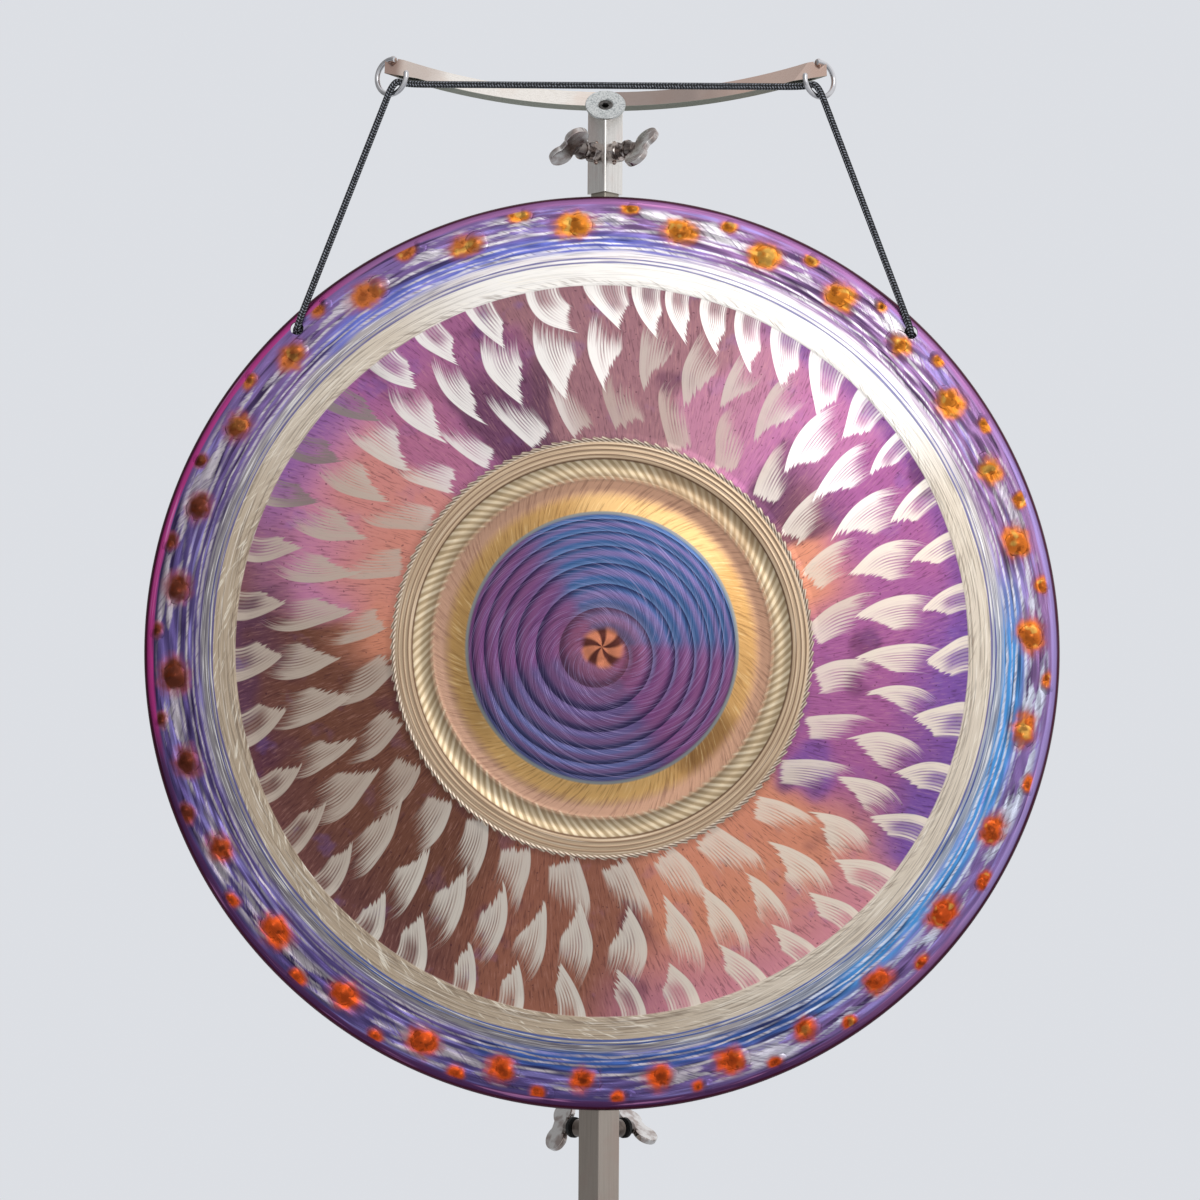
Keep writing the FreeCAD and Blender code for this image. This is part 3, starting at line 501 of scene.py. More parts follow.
def feather_layers(face, field):
    """The three rows over the field, with a painted highlight towards the upper right and painted shade
    towards the left.
    """
    finish = face.finish
    mix, step, lobe = finish.mix, finish.step, face.lobe
    crowd = step(face.turns, -0.012, 0.104) * 2.0
    outer = OUTER_ROW.mask(face, face.turns * 39.0 + crowd, True, lobe(18.0, 32.0, 0.0))
    middle = MIDDLE_ROW.mask(face, face.turns * 39.0, False)
    inner = INNER_ROW.mask(face, face.turns * 28.0, False)
    silver = tuple(bpy.context.scene.gong_settings.silver)
    # The strokes' tone by direction is painted light: brighter towards the top and the lower right, darker
    # towards the left, with darker painted patches in each row.
    glare, grey, painted_shade = (0.98, 0.965, 0.94), (0.88, 0.85, 0.80), (0.78, 0.72, 0.66)
    tone = mix(grey, painted_shade, lobe(268.0, 52.0, 0.1))
    tone = mix(tone, silver, lobe(112.0, 70.0, 0.1))
    tone = mix(tone, glare, lobe(8.0, 66.0, 0.1))
    outer_tone = mix(tone, (0.52, 0.47, 0.46), lobe(305.0, 17.0, 0.05, weight=0.9))
    middle_tone = mix(tone, (0.68, 0.61, 0.57), lobe(22.0, 20.0, 0.05, weight=0.85))
    inner_tone = mix(tone, (0.66, 0.57, 0.52), lobe(16.0, 30.0, 0.1, weight=0.85))
    inner_tone = mix(inner_tone, (0.80, 0.75, 0.68), lobe(60.0, 30.0, 0.1, weight=0.6))
    field = mix(field, inner_tone, inner * 0.84)
    field = mix(field, middle_tone, middle * 0.94)
    field = mix(field, outer_tone, outer * 0.97)
    return field, finish.maths("MAXIMUM", outer, finish.maths("MAXIMUM", middle, inner))


def boss_colour(face):
    """The boss: blue and purple between the crests of one long spiral ridge, with painted light on the ridge
    and painted reflections in the copper cone at its middle.
    """
    finish = face.finish
    mix, step, lobe = finish.mix, finish.step, face.lobe
    boss = face.share / BOSS_SHARE
    count = ridge_count(boss)
    sine, cosine, start = SPIRAL_DRIFT
    drift = finish.maths("SINE", face.angle) * sine + finish.maths("COSINE", face.angle) * cosine
    phase = count - face.turns + drift + start
    phase = phase - finish.maths("FLOOR", phase)
    blue, purple, wine = (0.29, 0.43, 0.63), (0.38, 0.32, 0.49), (0.54, 0.30, 0.50)
    tint = mix(purple, blue, lobe(28.0, 84.0, 0.3))
    tint = mix(tint, (0.36, 0.38, 0.56), lobe(200.0, 52.0) * step(boss, 0.55, 0.85))
    tint = mix(tint, wine, lobe(118.0, 36.0, weight=0.75))
    tint = mix(tint, wine, lobe(292.0, 44.0, weight=0.6))
    # Painted light on the ridge: a lighter band after each crest, painted shade in the valley before the next
    # crest, and a painted highlight on the crests, strongest towards the upper right.
    tint = mix(tint, (0.56, 0.36, 0.52), step(phase, 0.25, 0.5) * step(phase, 0.85, 0.6, 0.45))
    tint = mix(tint, (0.15, 0.14, 0.27), step(phase, 0.62, 0.98, 0.85))
    tint = mix(tint, (0.50, 0.60, 0.78), step(phase, 0.24, 0.04) * lobe(40.0, 110.0, weight=0.45))
    tint = mix(tint, (0.58, 0.34, 0.36), step(boss, 0.46, 0.15, 0.5))
    hair = face.rays(30.0, 30.0, lean=16.0, seed=11.0)
    tint = mix(tint, (0.68, 0.62, 0.80), step(hair, 0.52, 0.72, 0.45))
    tint = mix(tint, (0.13, 0.10, 0.22), step(hair, 0.47, 0.28, 0.50))
    # The copper cone in the middle: its light and dark wedges are painted reflections.
    wedge = finish.maths("SINE", face.angle * 5.0 + boss * 14.0)
    core = mix((0.80, 0.50, 0.38), (0.36, 0.20, 0.18), step(wedge, -0.5, 0.8))
    return mix(tint, core, step(boss + face.fine * 0.10, 0.175, 0.120)), phase, hair


def turned_colour(face, tint):
    """The turned zone outside the boss: gold, copper, a pale groove with rope marks, and fine grooves, with
    painted highlights and painted shade by direction on the gold and the copper, and painted shade along the
    groove's inner wall.
    """
    finish = face.finish
    mix, step, lobe = finish.mix, finish.step, face.lobe
    share = face.share
    fur = face.streaks(-1.4, 130.0, 18.0, seed=11.0)
    twist = finish.maths("SINE", share * (2 * math.pi / 0.0195) + face.angle * 127.0) * 0.5 + 0.5
    rope = twist * 0.34 + face.streaks(1.12, 110.0, 12.0, seed=21.0) * 0.62
    # Painted light: the gold and the copper are lighter towards the right, with painted highlights at the top
    # and at the bottom and painted shade at the lower right.
    right = lobe(78.0, 125.0, 0.2)
    gold = mix((0.76, 0.60, 0.38), (0.85, 0.66, 0.42), right)
    gold = mix(gold, (0.90, 0.72, 0.46), lobe(192.0, 46.0, weight=0.75))
    gold = mix(gold, (0.96, 0.80, 0.56), lobe(24.0, 42.0, weight=0.6))
    gold = mix(gold, (0.48, 0.33, 0.20), lobe(128.0, 20.0, weight=0.65))
    gold = mix(gold, (0.46, 0.31, 0.19), step(fur, 0.50, 0.70, 0.45))
    gold = mix(gold, (1.0, 0.88, 0.66), step(fur, 0.44, 0.28, 0.4))
    copper = mix((0.72, 0.57, 0.48), (0.82, 0.64, 0.53), right)
    copper = mix(copper, (0.50, 0.36, 0.30), step(fur, 0.48, 0.68, 0.5))
    pale = mix((0.70, 0.61, 0.48), (0.87, 0.79, 0.66), step(rope, 0.34, 0.60))
    # Painted shade along the groove's inner wall.
    pale = mix(pale, (0.60, 0.47, 0.36), step(share, 0.386, 0.374, 0.5))
    pale = mix(pale, (0.98, 0.93, 0.82), step(rope, 0.58, 0.72, 0.4))
    # A painted dark reflection in the groove towards the upper right.
    pale = mix(pale, (0.62, 0.50, 0.38), lobe(40.0, 26.0, weight=0.5))
    fine = finish.maths("SINE", share * (2 * math.pi / 0.0105) + face.fine * 1.5) * 0.5 + 0.5
    thin = face.streaks(0.0, 420.0, 5.0, seed=23.0)
    turned = mix((0.83, 0.73, 0.61), (0.46, 0.35, 0.28), step(fine, 0.55, 1.0, 0.75))
    turned = mix(turned, (0.55, 0.44, 0.35), step(thin, 0.48, 0.62, 0.45))
    turned = mix(turned, (0.97, 0.92, 0.84), step(thin, 0.42, 0.30, 0.45))
    edge_rope = finish.maths("SINE", share * (2 * math.pi / 0.0062) + face.angle * 223.0) * 0.5 + 0.5
    twisted = mix((0.46, 0.36, 0.30), (0.96, 0.90, 0.82), edge_rope)
    turned = mix(turned, twisted, step(share, 0.449, 0.452, 0.8))
    colour = mix(pale, turned, step(share + (fur - 0.5) * 0.004, 0.411, 0.415))
    colour = mix((0.40, 0.29, 0.22), colour, finish.maths("ABSOLUTE", share - 0.4135) * 300.0)
    colour = mix(copper, colour, step(share + (rope - 0.5) * 0.010, 0.364, 0.376))
    colour = mix(gold, colour, step(share + (fur - 0.5) * 0.020, 0.322, 0.350))
    colour = mix((0.60, 0.62, 0.62), colour, step(share, 0.295, 0.300))
    return mix(tint, colour, step(share, 0.288, 0.294)), rope, fur


def border_colour(face, brush_a, brush_b):
    """The brushed band, its blue lines, and the hammered border with its ground crests, with a painted
    highlight towards the upper right and painted shade towards the lower left.
    """
    finish = face.finish
    mix, step, lobe = finish.mix, finish.step, face.lobe
    share = face.share
    glare = lobe(17.0, 52.0, 0.1)
    painted_shade = lobe(232.0, 82.0, 0.1)
    sky = lobe(118.0, 44.0)

    # The brushed band: cream, with a painted highlight towards the top right and painted shade towards the
    # lower left
    cream = mix((0.86, 0.81, 0.74), (0.76, 0.69, 0.60), painted_shade)
    cream = mix(cream, (0.98, 0.965, 0.94), glare)
    shadow = step(brush_a, 0.48, 0.64) * (0.50 - glare * 0.34)
    cream = mix(cream, (0.42, 0.36, 0.32), shadow)
    cream = mix(cream, (1.0, 0.97, 0.92), step(brush_b, 0.56, 0.70, 0.55))
    laid = face.streaks(0.9, 190.0, 20.0, seed=43.0)
    cream = mix(cream, (0.47, 0.39, 0.33), step(laid, 0.52, 0.66) * step(share, 0.824, 0.806, 0.45))
    cream = mix(cream, (1.0, 0.97, 0.90), step(laid, 0.44, 0.30) * (0.25 + painted_shade * 0.35))

    # The hair zone beside it: grey with a tint, a painted highlight towards the top right and painted shade
    # towards the lower left, and two thin blue lines
    hairs = mix((0.74, 0.71, 0.71), (0.60, 0.58, 0.59), painted_shade)
    hairs = mix(hairs, (0.97, 0.94, 0.94), glare * 0.85)
    hairs = mix(hairs, (0.58, 0.66, 0.76), sky * 0.6)
    hairs = mix(hairs, (0.30, 0.27, 0.36), step(brush_b, 0.46, 0.62) * (0.50 - glare * 0.2))
    hairs = mix(hairs, (0.99, 0.98, 0.97), step(brush_a, 0.52, 0.64, 0.75))
    colour = mix(cream, hairs, step(share + (brush_a - 0.5) * 0.012, 0.846, 0.856))
    blue = mix((0.30, 0.30, 0.58), (0.10, 0.32, 0.66), lobe(170.0, 70.0))
    for level, width in ((0.8495, 0.0030), (0.8580, 0.0018)):
        off = finish.maths("ABSOLUTE", share - level + (brush_a - 0.5) * 0.006)
        colour = mix(colour, blue, step(off, width, width * 0.3, 0.8))

    # The border itself: violet with painted shade towards the lower left, sky blue at the right, indigo at
    # the lower left, painted shade in the ripples between crests and painted highlights beside it; its ground
    # silver has a painted highlight towards the top right and painted shade towards the lower left
    violet = mix((0.52, 0.42, 0.64), (0.35, 0.30, 0.50), painted_shade)
    violet = mix(violet, (0.68, 0.50, 0.66), lobe(45.0, 60.0, weight=0.5))
    violet = mix(violet, (0.32, 0.60, 0.86), sky * step(share, 0.935, 0.905))
    violet = mix(violet, (0.24, 0.36, 0.62), lobe(172.0, 32.0) * step(share, 0.935, 0.905))
    violet = mix(violet, (0.40, 0.48, 0.84), lobe(345.0, 34.0) * step(share, 0.93, 0.90, 0.8))
    ripple = face.streaks(0.0, 70.0, 3.6, 2.0, seed=61.0)
    violet = mix(violet, (0.15, 0.11, 0.22), step(ripple, 0.53, 0.66, 0.75))
    violet = mix(violet, (0.66, 0.62, 0.90), step(ripple, 0.44, 0.32, 0.55))
    silver = mix((0.84, 0.81, 0.84), (0.70, 0.67, 0.69), painted_shade)
    silver = mix(silver, (1.0, 0.98, 0.99), glare * 0.9)
    silver = mix(silver, (0.86, 0.92, 1.0), sky * 0.6)
    hatch = face.streaks(1.5, 210.0, 16.0, seed=71.0)
    silver = mix(silver, (0.38, 0.32, 0.44), step(hatch, 0.50, 0.66, 0.6))
    border = violet
    for level, width, seed in CRESTS:
        border = mix(border, silver, face.crest(level, width, seed))
    patch = face.streaks(0.0, 42.0, 7.0, 2.0, seed=91.0)
    ground = step(patch + (hatch - 0.5) * 0.25, 0.47, 0.58) * face.between(0.928, 0.970, 0.007)
    border = mix(border, silver, ground * 0.92)
    return mix(colour, border, step(share + (brush_b - 0.5) * 0.02, 0.868, 0.882)), ripple, hatch


def gong_finish():
    """Bronze with a spiral boss, a turned gold zone, ground feathers and a heat-tinted border, with painted
    highlights and painted shade by direction across the face.
    """
    settings = bpy.context.scene.gong_settings
    finish = Finish("gong_bronze", roughness=0.33, metallic=1.0)
    face = Face(finish)
    mix, step, lobe = finish.mix, finish.step, face.lobe
    share = face.share
    field, feathers = feather_layers(face, field_colour(face))
    tint, phase, hair = boss_colour(face)
    turned, rope, fur = turned_colour(face, tint)
    brush_a = face.streaks(0.0, 330.0, 7.0, seed=31.0)
    brush_b = face.streaks(0.0, 300.0, 9.0, seed=37.0)
    border, ripple, hatch = border_colour(face, brush_a, brush_b)

    # Saw-edged ring where the turned zone meets the field, then the field and the bands
    serrated = share + (rope - 0.5) * 0.014
    colour = mix(turned, field, step(serrated, 0.4575, 0.4605))
    colour = mix(colour, border, step(share + (brush_a - 0.5) * 0.004, 0.797, 0.800))

    # Heat spots round the raised domes
    warped = face.angle * (180.0 / math.pi)
    for wave, (cosine, sine) in enumerate(DOME_STRAY):
        warped = warped - finish.maths("COSINE", face.angle * wave) * cosine
        if wave:
            warped = warped - finish.maths("SINE", face.angle * wave) * sine
    number = warped / DOME_SPACING
    colour = dome_heat(face, colour, number, LARGE_DOME_SHARE, 0.0295)
    colour = dome_heat(face, colour, number + 0.5, SMALL_DOME_SHARE, 0.0160)

    # The smooth band, the shoulder and the back
    band = mix((0.62, 0.42, 0.62), (0.34, 0.20, 0.36), lobe(205.0, 80.0))
    band = mix(band, (0.74, 0.22, 0.52), lobe(290.0, 38.0, weight=0.9))
    band = mix(band, (0.66, 0.60, 0.84), lobe(92.0, 40.0, weight=0.8))
    band = mix(band, (0.92, 0.62, 0.84), step(face.streaks(0.0, 150.0, 4.0, seed=95.0), 0.56, 0.70) * 0.5)
    colour = mix(colour, band, step(share + (brush_b - 0.5) * 0.010, 0.9765, 0.9815) * 0.94)
    colour = mix(colour, tuple(settings.edge_tint), step(share + (brush_b - 0.5) * 0.004, 0.989, 0.994))
    back = mix((0.44, 0.33, 0.28), (0.34, 0.25, 0.30), step(face.cloud(3.4, 7.0, 4.0), 0.4, 0.65))
    back = mix(back, (0.60, 0.48, 0.42), step(face.streaks(0.0, 90.0, 6.0, seed=97.0), 0.54, 0.72) * 0.4)
    behind = Value(finish, finish.node("ShaderNodeAttribute", {"attribute_name": "behind"}).outputs["Fac"])
    colour = mix(colour, back, behind * step(share, 0.992, 0.985))
    finish.colour(colour)
    finish.rough(0.36 - feathers * 0.05 + (brush_a - 0.5) * 0.10)
    relief = (ripple * 0.9 * face.between(0.885, 0.975, 0.006)
              + brush_a * 0.35 * face.between(0.80, 0.975, 0.004)
              + hatch * 0.25 * face.between(0.925, 0.975, 0.004) + fur * 0.25 * face.between(0.30, 0.37)
              + hair * 0.35 * step(share, 0.294, 0.288) + rope * 0.14 * face.between(0.372, 0.415))
    finish.bump(relief, 0.0006, 0.8)
    return finish.material


def dome_heat(face, colour, number, ring, reach):
    """Heat round each dome of one row: yellow and orange at the right, red below, dark brown at the left,
    with painted shade on each dome's top and in mottled patches, and painted glints towards the upper right.
    """
    finish = face.finish
    mix, step, lobe = finish.mix, finish.step, face.lobe
    nearest = finish.maths("ROUND", number)
    chance = face.random(nearest, ring * 30.0) - 0.5
    shift = face.random(nearest, ring * 70.0) - 0.5
    along = (number - nearest) * face.share * math.radians(DOME_SPACING) + shift * reach * 0.45
    out = face.share - ring
    rough = face.cloud(38.0, ring * 40.0, 3.0) - 0.5
    away = finish.maths("SQRT", along * along * 0.60 + out * out) + (rough + chance * 0.4) * reach * 0.9
    yellow, orange, red = (1.0, 0.62, 0.22), (0.93, 0.50, 0.20), (0.87, 0.35, 0.14)
    scorched = (0.30, 0.15, 0.15)
    heat = mix(orange, yellow, lobe(25.0, 55.0, 0.1, weight=0.8))
    heat = mix(heat, red, lobe(180.0, 92.0, 0.1))
    heat = mix(heat, scorched, lobe(272.0, 38.0, 0.1, weight=0.92))
    heat = mix(heat, (0.72, 0.42, 0.25), lobe(322.0, 24.0, 0.1, weight=0.7))
    mottle = face.cloud(60.0, ring * 90.0, 3.0) - 0.5
    glint = face.cloud(34.0, ring * 50.0, 1.0) - 0.5
    colour = mix(colour, (0.66, 0.34, 0.40), step(away, reach * 1.45, reach * 0.70, 0.65))
    colour = mix(colour, heat, step(away, reach * 1.08, reach * 0.50))
    # Mottled dark brown: heat mottling and painted shade of each dome.
    dark = step(mottle, 0.03, 0.16) * step(away, reach, reach * 0.5)
    colour = mix(colour, (0.45, 0.19, 0.09), dark * 0.6)
    # Painted glints, towards the upper right.
    bright = step(glint, 0.02, 0.12) * step(away, reach * 0.75, reach * 0.35) * lobe(50.0, 125.0, 0.1)
    colour = mix(colour, (1.0, 0.82, 0.42), bright * 0.7)
    # Painted shade on the dome's top, shifted at random.
    dark = step(away + mottle * reach * 1.2 + along * shift * 0.5, reach * 0.50, reach * 0.10)
    return mix(colour, (0.32, 0.15, 0.09), dark * (0.55 + chance * 0.7))


# Modelling helpers

def deselect():
    if bpy.context.object and bpy.context.object.mode != "OBJECT":
        bpy.ops.object.mode_set(mode="OBJECT")
    bpy.ops.object.select_all(action="DESELECT")


def pick(obj):
    deselect()
    obj.select_set(True)
    bpy.context.view_layer.objects.active = obj


def lathe(name, outline, centre, axis, radial, steps):
    """A closed solid spun from an outline of (radius, height) points that starts and ends on the axis."""
    deselect()
    places = [centre + radial * r + axis * h for r, h in outline]
    bpy.ops.mesh.primitive_plane_add(size=0.001, location=places[0])
    obj = bpy.context.object
    obj.name = name
    bpy.ops.object.transform_apply(location=True, rotation=True, scale=True)
    bpy.ops.object.mode_set(mode="EDIT")
    bpy.ops.mesh.select_mode(type="VERT")
    bpy.ops.mesh.select_all(action="SELECT")
    bpy.ops.mesh.merge(type="CENTER")
    for before, after in zip(places, places[1:]):
        bpy.ops.mesh.extrude_region_move(TRANSFORM_OT_translate={"value": after - before})
    bpy.ops.mesh.select_all(action="SELECT")
    bpy.ops.mesh.spin(steps=steps, angle=2 * math.pi, center=centre, axis=axis)
    bpy.ops.mesh.select_all(action="SELECT")
    bpy.ops.mesh.remove_doubles(threshold=0.00001)
    bpy.ops.mesh.normals_make_consistent(inside=False)
    bpy.ops.object.mode_set(mode="OBJECT")
    bpy.ops.object.shade_smooth()
    return obj


def settle(obj):
    """Put the object at the origin, unturned and unscaled, with its place in its mesh."""
    pick(obj)
    bpy.ops.object.transform_apply(location=True, rotation=True, scale=True)


def dress(obj, material):
    obj.data.materials.clear()
    obj.data.materials.append(material)


def apply_modifier(obj, kind, **settings):
    pick(obj)
    modifier = obj.modifiers.new(kind, kind)
    for key, value in settings.items():
        setattr(modifier, key, value)
    bpy.ops.object.modifier_apply(modifier=modifier.name)


# Gong

def gong_outline():
    """The disc's section as (radius, height towards the front), from the front's middle to the back's."""
    def spread(points, start, end, count, height):
        for number in range(count):
            share = start + (end - start) * number / count
            points.append((GONG_RADIUS * share, height(share)))

    def slope(a, b, low, high):
        return lambda share: low + (high - low) * (share - a) / (b - a)

    front = []
    spread(front, 0.0, BOSS_SHARE, 46, lambda s: 0.0088 - 0.0038 * (s / BOSS_SHARE) ** 2)
    spread(front, BOSS_SHARE, COVE_SHARE, 9,
           lambda s: 0.0046 - 0.0022 * math.sin(math.pi * (s - BOSS_SHARE) / 0.1))
    spread(front, COVE_SHARE, SLOPE_SHARE, 5, slope(COVE_SHARE, SLOPE_SHARE, 0.0024, 0.0034))
    spread(front, SLOPE_SHARE, GROOVE_SHARE, 10,
           lambda s: 0.0038 - 0.0016 * math.sin(math.pi * (s - SLOPE_SHARE) / 0.043))
    spread(front, GROOVE_SHARE, TURNED_SHARE, 12,
           lambda s: 0.0040 - 0.0003 * math.sin(4 * math.pi * (s - GROOVE_SHARE) / 0.022))
    spread(front, TURNED_SHARE, FIELD_SHARE, 22, slope(TURNED_SHARE, FIELD_SHARE, 0.0036, 0.0002))
    spread(front, FIELD_SHARE, BAND_SHARE, 6, lambda s: 0.0007)
    spread(front, BAND_SHARE, FLAT_SHARE, 26, lambda s: 0.0)
    bend, depth, wall, chamfer = SHOULDER_BEND, 0.011, 0.003, 0.0008
    flat = GONG_RADIUS - bend
    for number in range(9):
        turn = math.pi / 2 * number / 8
        front.append((flat + bend * math.sin(turn), -bend + bend * math.cos(turn)))
    front += [(GONG_RADIUS, -depth + chamfer), (GONG_RADIUS - chamfer, -depth),
              (GONG_RADIUS - wall + chamfer, -depth), (GONG_RADIUS - wall, -depth + chamfer)]
    inner = bend - wall
    for number in range(6):
        turn = math.pi / 2 * (1 - number / 5)
        front.append((flat + inner * math.sin(turn), -bend + inner * math.cos(turn)))
    return front + [(0.300, -0.003), (0.264, -0.003), (0.20, -0.0018), (0.1515, 0.0010), (0.097, 0.0020),
                    (0.05, 0.0050), (0.0, 0.0058)]


def work_the_face(obj):
    """Raise the boss's spiral ridge and the hammered border's waves on the spun disc."""
    settings = bpy.context.scene.gong_settings
    count = len(obj.data.vertices)
    places = np.empty(count * 3)
    obj.data.vertices.foreach_get("co", places)
    places = places.reshape(-1, 3)
    x, z = places[:, 0] / GONG_RADIUS, (places[:, 2] - GONG_CENTRE.z) / GONG_RADIUS
    share = np.hypot(x, z)
    angle = np.arctan2(x, z)
    front = places[:, 1] < GONG_CENTRE.y + 0.0002
    boss = np.clip(share / BOSS_SHARE, 0, 1)
    sine, cosine, start = SPIRAL_DRIFT
    phase = ridge_count(boss) - angle / (2 * math.pi) + sine * np.sin(angle) + cosine * np.cos(angle) + start
    phase -= np.floor(phase)
    ridge = np.sin(math.pi * phase) ** 0.7 * (1.25 - 0.5 * phase)
    ridge *= np.clip((1 - boss) / 0.04, 0, 1) * (0.35 + 0.65 * np.clip(boss / 0.2, 0, 1))
    rng = np.random.default_rng(11)
    waves = np.zeros(count)
    for _ in range(16):
        around, phase_a, pitch = rng.integers(9, 60), rng.uniform(0, 2 * math.pi), rng.uniform(180, 330)
        bent = around * angle + phase_a + 1.4 * np.sin(7 * angle)
        waves += np.sin(bent) * np.sin(share * pitch + phase_a * 3)
    waves *= np.clip((share - 0.885) / 0.01, 0, 1) * np.clip((0.980 - share) / 0.008, 0, 1) / 3.0
    rise = settings.ridge_height * ridge * (share < BOSS_SHARE) + settings.wave_height * waves
    places[:, 1] -= np.where(front, rise, 0.0)
    obj.data.vertices.foreach_set("co", places.ravel())
    obj.data.update()


def dome_master(radius, height):
    """A raised dome with a soft skirt, on the origin, its top towards -Y."""
    outline = [(0.0, height)]
    for number in range(1, 11):
        share = number / 10
        outline.append((radius * 1.45 * share, height * (math.cos(math.pi * share) * 0.5 + 0.5) - 0.00005))
    outline += [(radius * 1.45, -0.0004), (0.0, -0.0004)]
    return lathe("dome", outline, Vector((0, 0, 0)), Vector((0, -1, 0)), Vector((1, 0, 0)), 20)


def copies(master, placements):
    """One object made of copies of a master, each with its own mesh; the master is removed."""
    made = []
    for placement in placements:
        copy = master.copy()
        copy.data = master.data.copy()
        bpy.context.scene.collection.objects.link(copy)
        copy.matrix_world = placement
        made.append(copy)
    bpy.data.objects.remove(master)
    deselect()
    for copy in made:
        copy.select_set(True)
    bpy.context.view_layer.objects.active = made[0]
    bpy.ops.object.transform_apply(location=True, rotation=True, scale=True)
    bpy.ops.object.join()
    return bpy.context.object


class OBJECT_OT_gong(bpy.types.Operator):
    """Spin the bronze disc, work its face, raise its domes and tint it"""
    bl_idname = "object.gong_disc"
    bl_label = "Gong"

    def execute(self, context):
        settings = context.scene.gong_settings
        disc = lathe("gong_disc", gong_outline(), GONG_CENTRE, Vector((0, -1, 0)), Vector((1, 0, 0)),
                     settings.spin_steps)
        work_the_face(disc)
        domes = []
        for row, (radius, height, ring) in enumerate(DOME_ROWS):
            placements = []
            for number in range(DOMES_IN_ROW):
                angle = dome_angle(number + row * 0.5)
                reach = GONG_RADIUS * ring
                place = GONG_CENTRE + Vector((reach * math.sin(angle), 0, reach * math.cos(angle)))
                placements.append(Matrix.Translation(place))
            domes.append(copies(dome_master(radius, height), placements))
        pierce(disc)
        deselect()
        for obj in domes + [disc]:
            obj.select_set(True)
        context.view_layer.objects.active = disc
        bpy.ops.object.join()
        mark_back(disc)
        dress(disc, gong_finish())
        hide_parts("gong")
        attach(disc, "gong")
        return {"FINISHED"}


def mark_back(disc):
    """Mark what faces backwards, which is left raw."""
    marks = disc.data.attributes.new("behind", "FLOAT", "POINT")
    for vertex, mark in zip(disc.data.vertices, marks.data):
        mark.value = 1.0 if vertex.normal.y > 0.3 else 0.0


def pierce(disc):
    """Drill the two cord holes through the border."""
    turn = math.radians(CORD_HOLE_ANGLE)
    for side in (-1, 1):
        deselect()
        place = GONG_CENTRE + Vector((side * math.sin(turn), 0, math.cos(turn))) * CORD_HOLE_REACH
        bpy.ops.mesh.primitive_cylinder_add(vertices=32, radius=CORD_HOLE_RADIUS, depth=0.05, location=place,
                                            rotation=(math.pi / 2, 0, 0))
        drill = bpy.context.object
        apply_modifier(disc, "BOOLEAN", object=drill, operation="DIFFERENCE", solver="EXACT")
        bpy.data.objects.remove(drill)
    pick(disc)
    bpy.ops.object.shade_smooth_by_angle(angle=math.radians(50))


# Cord and knots

def cord_points():
    mirrored = [(-x, y, z) for x, y, z in reversed(CORD_HALF)]
    return CORD_HALF + mirrored


def cord_line():
    """The cord's centreline, as points read from the spline through its control points."""
    curve = bpy.data.curves.new("cord_route", "CURVE")
    curve.dimensions = "3D"
    curve.resolution_u = 24
    spline = curve.splines.new("NURBS")
    points = cord_points()
    spline.points.add(len(points) - 1)
    for point, place in zip(spline.points, points):
        point.co = (*place, 1.0)
    spline.order_u = 3
    spline.use_endpoint_u = True
    route = bpy.data.objects.new("cord_route", curve)
    bpy.context.scene.collection.objects.link(route)
    mesh = bpy.data.meshes.new_from_object(route)
    line = [vertex.co.copy() for vertex in mesh.vertices]
    bpy.data.objects.remove(route)
    bpy.data.meshes.remove(mesh)
    return line


def cord_finish():
    """Black braid: two families of strands that cross, with painted highlights as grey flecks on the strands.
    """
    settings = bpy.context.scene.cord_settings
    finish = Finish("black_braid", roughness=0.75, metallic=0.0)
    weave = finish.node("ShaderNodeUVMap", {"uv_map": "braid"})
    split = finish.node("ShaderNodeSeparateXYZ", None, Vector=Value(finish, weave.outputs[0]))
    around, along = (Value(finish, split.outputs[i]) for i in (0, 1))
    rows = around * 3.0
    slant = finish.maths("ABSOLUTE", rows - finish.maths("ROUND", rows)) * 2.0
    border = finish.maths("ABSOLUTE", slant - 0.5) * 2.0
    dash = finish.maths("SINE", (along / 0.0021 + slant * 0.75) * (2 * math.pi)) * 0.5 + 0.5
    strand = dash * finish.step(border, 1.0, 0.50)
    fleck = finish.noise(finish.vector(around * 12.0, along * 700.0, 1.0), 1.0, 2.0)
    colour = finish.mix((0.03, 0.03, 0.035), tuple(settings.black), finish.step(strand, 0.25, 0.65))
    # Painted highlights: grey flecks where the strands stand highest.
    lit = finish.step(fleck, 0.36, 0.54) * finish.step(strand, 0.45, 0.85)
    colour = finish.mix(colour, (0.70, 0.72, 0.76), lit * 0.85)
    finish.colour(colour)
    finish.bump(strand, 0.0006, 0.8)
    return finish.material


